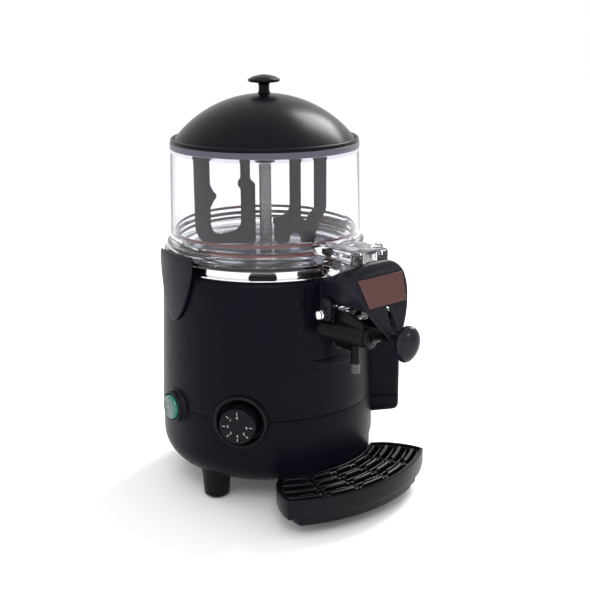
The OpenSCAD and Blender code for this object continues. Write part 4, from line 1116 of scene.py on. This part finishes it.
BAR_LOW, BAR_TOP = 380.0, 392.0
HUB_TOP = edge("paddle", 2)
outer = [(-81, BAR_TOP), (-81, 297), (-79.5, 290), (-76, 283.5), (-70, 279), (-62, 277.6), (-11.4, 277.6),
         (-11.4, 346), (-17, 351), (-17, BAR_LOW), (27.4, BAR_LOW), (27.4, 320), (25.6, 314.5),
         (21.5, 310.5), (15, 307.6), (8.2, 306.6), (8.2, 301), (9.6, 299), (9.6, 277.6), (27.6, 277.6),
         (27.6, 285.5), (30.5, 288.3), (36.5, 288.3), (39.6, 285.5), (39.6, 277.6), (56.7, 277.6),
         (57.2, 289), (59.4, 298), (63.4, 306), (68.3, 315), (69.5, 320), (69.5, BAR_TOP)]
window = [(-63.5, BAR_LOW), (-63.5, 345), (-60, 337), (-55.2, 332.4), (-60, 326), (-63.5, 318), (-63.5, 299),
          (-61, 291), (-57, 287.8), (-50, 287.6), (-34, 291.6), (-28.2, 298), (-27.4, 306), (-27.4, 341),
          (-30.4, 344), (-30.4, 349), (-27.4, 352), (-27.4, BAR_LOW)]
slot = [(39.7, BAR_LOW), (39.7, 309), (41.5, 304.5), (45, 302), (49.4, 304), (51.5, 308), (52.6, 312.5),
        (55.8, 318), (55.8, BAR_LOW)]
blade = plate([rounded(line, 5.0, 4) for line in (outer, window, slot)], 2.5, 0.7)
paddle = to_mesh("stirring_paddle", shifted(blade, spin(-40) @ spin(90, "X")), weld=0.01)
hub_shape = solid(rounded([(0, 376.6), (11.6, 376.6), (12.5, 378), (12.5, HUB_TOP - 1.0), (11.8, HUB_TOP),
                           (0, HUB_TOP)],
                          [0, 0.8, 0.6, 0.6, 0.6, 0], 3, closed=False), 64)
carve(paddle, hub_shape, "UNION")
carve(paddle, solid([(0, 360), (4.6, 360), (4.6, 380), (0, 380)], 32))
carve(paddle, solid([(0, 379), (4.72, 379), (4.72, 400), (0, 400)], 6))
dress(paddle, blade_skin, "paddle", "paddle", ["paddle"], sharp=40)

# ---- CAD pieces that stay ----

kept = {"base_plate": steel, "water_tank": ring_steel, "tank_gasket": gasket, "heater_ring": heater_metal,
        "gear_motor": motor_paint, "motor_bracket": zinc, "shaft_bush": ivory, "drive_shaft": chrome,
        "thermostat_body": ivory, "switch_body": trim, "terminal_block": ivory, "tube_nut": zinc,
        "tube_bush": ivory, "tray_bracket": casing, "valve_piston": ivory, "piston_rings": rubber,
        "piston_pin": chrome}
for node_name, material in kept.items():
    node_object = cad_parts[node_name]
    node_object.data.materials.clear()
    node_object.data.materials.append(material)

# ---- floor, light and camera ----

floor_mesh = bpy.data.meshes.new("studio_floor")
FLOOR_HALF = 60.0  # metres
corners = [(-FLOOR_HALF, -FLOOR_HALF, 0), (FLOOR_HALF, -FLOOR_HALF, 0), (FLOOR_HALF, FLOOR_HALF, 0),
           (-FLOOR_HALF, FLOOR_HALF, 0)]
floor_mesh.from_pydata(corners, [], [(0, 1, 2, 3)])
floor = bpy.data.objects.new("studio_floor", floor_mesh)
bpy.context.scene.collection.objects.link(floor)
floor_mesh.materials.append(finish("pale_floor", (0.90, 0.90, 0.905), 0.8, spec=0.05, vary=0.01,
                                   rough_vary=0.03, grain=300, depth=0.05, cloud=3))

world = bpy.data.worlds.new("studio")
world.use_nodes = True
SKY_WHITE, SKY_STRENGTH = (1.0, 1.0, 1.0, 1.0), 1.12
sky = world.node_tree.nodes["Background"]
sky.inputs[0].default_value, sky.inputs[1].default_value = SKY_WHITE, SKY_STRENGTH
bpy.context.scene.world = world
bpy.context.scene.view_settings.view_transform = "Standard"


def lamp(name, where, aim, size, power, height=None):
    """A soft rectangular light."""
    data = bpy.data.lights.new(name, "AREA")
    data.shape, data.size, data.size_y, data.energy = "RECTANGLE", size, height or size, power
    obj = bpy.data.objects.new(name, data)
    obj.location = where
    obj.rotation_euler = (Vector(aim) - Vector(where)).to_track_quat("-Z", "Y").to_euler()
    bpy.context.scene.collection.objects.link(obj)
    return obj


middle = at(0, 0, 240)
lamp("key_light", at(1500, 200, 1700), middle, 0.7, 40, 1.0)
lamp("fill_light", at(-1300, -1500, 1900), middle, 0.9, 18, 0.9)

# the camera that took the photo, fitted to the casing's and the bowl's round edges
LENS, SENSOR = 66.75, 36.0
EYE = (-787.4, -938.4, 556.9)
TURN, AIM_OFF, DOWN, ROLL = -40, -1.54, 15.51, -0.33
camera_data = bpy.data.cameras.new("photo_view")
camera_data.lens, camera_data.sensor_width = LENS, SENSOR
camera = bpy.data.objects.new("photo_view", camera_data)
facing = spin(TURN) @ spin(AIM_OFF) @ spin(90 - DOWN, "X") @ spin(ROLL)
camera.matrix_world = Matrix.Translation(at(*EYE)) @ facing
bpy.context.scene.collection.objects.link(camera)
bpy.context.scene.camera = camera
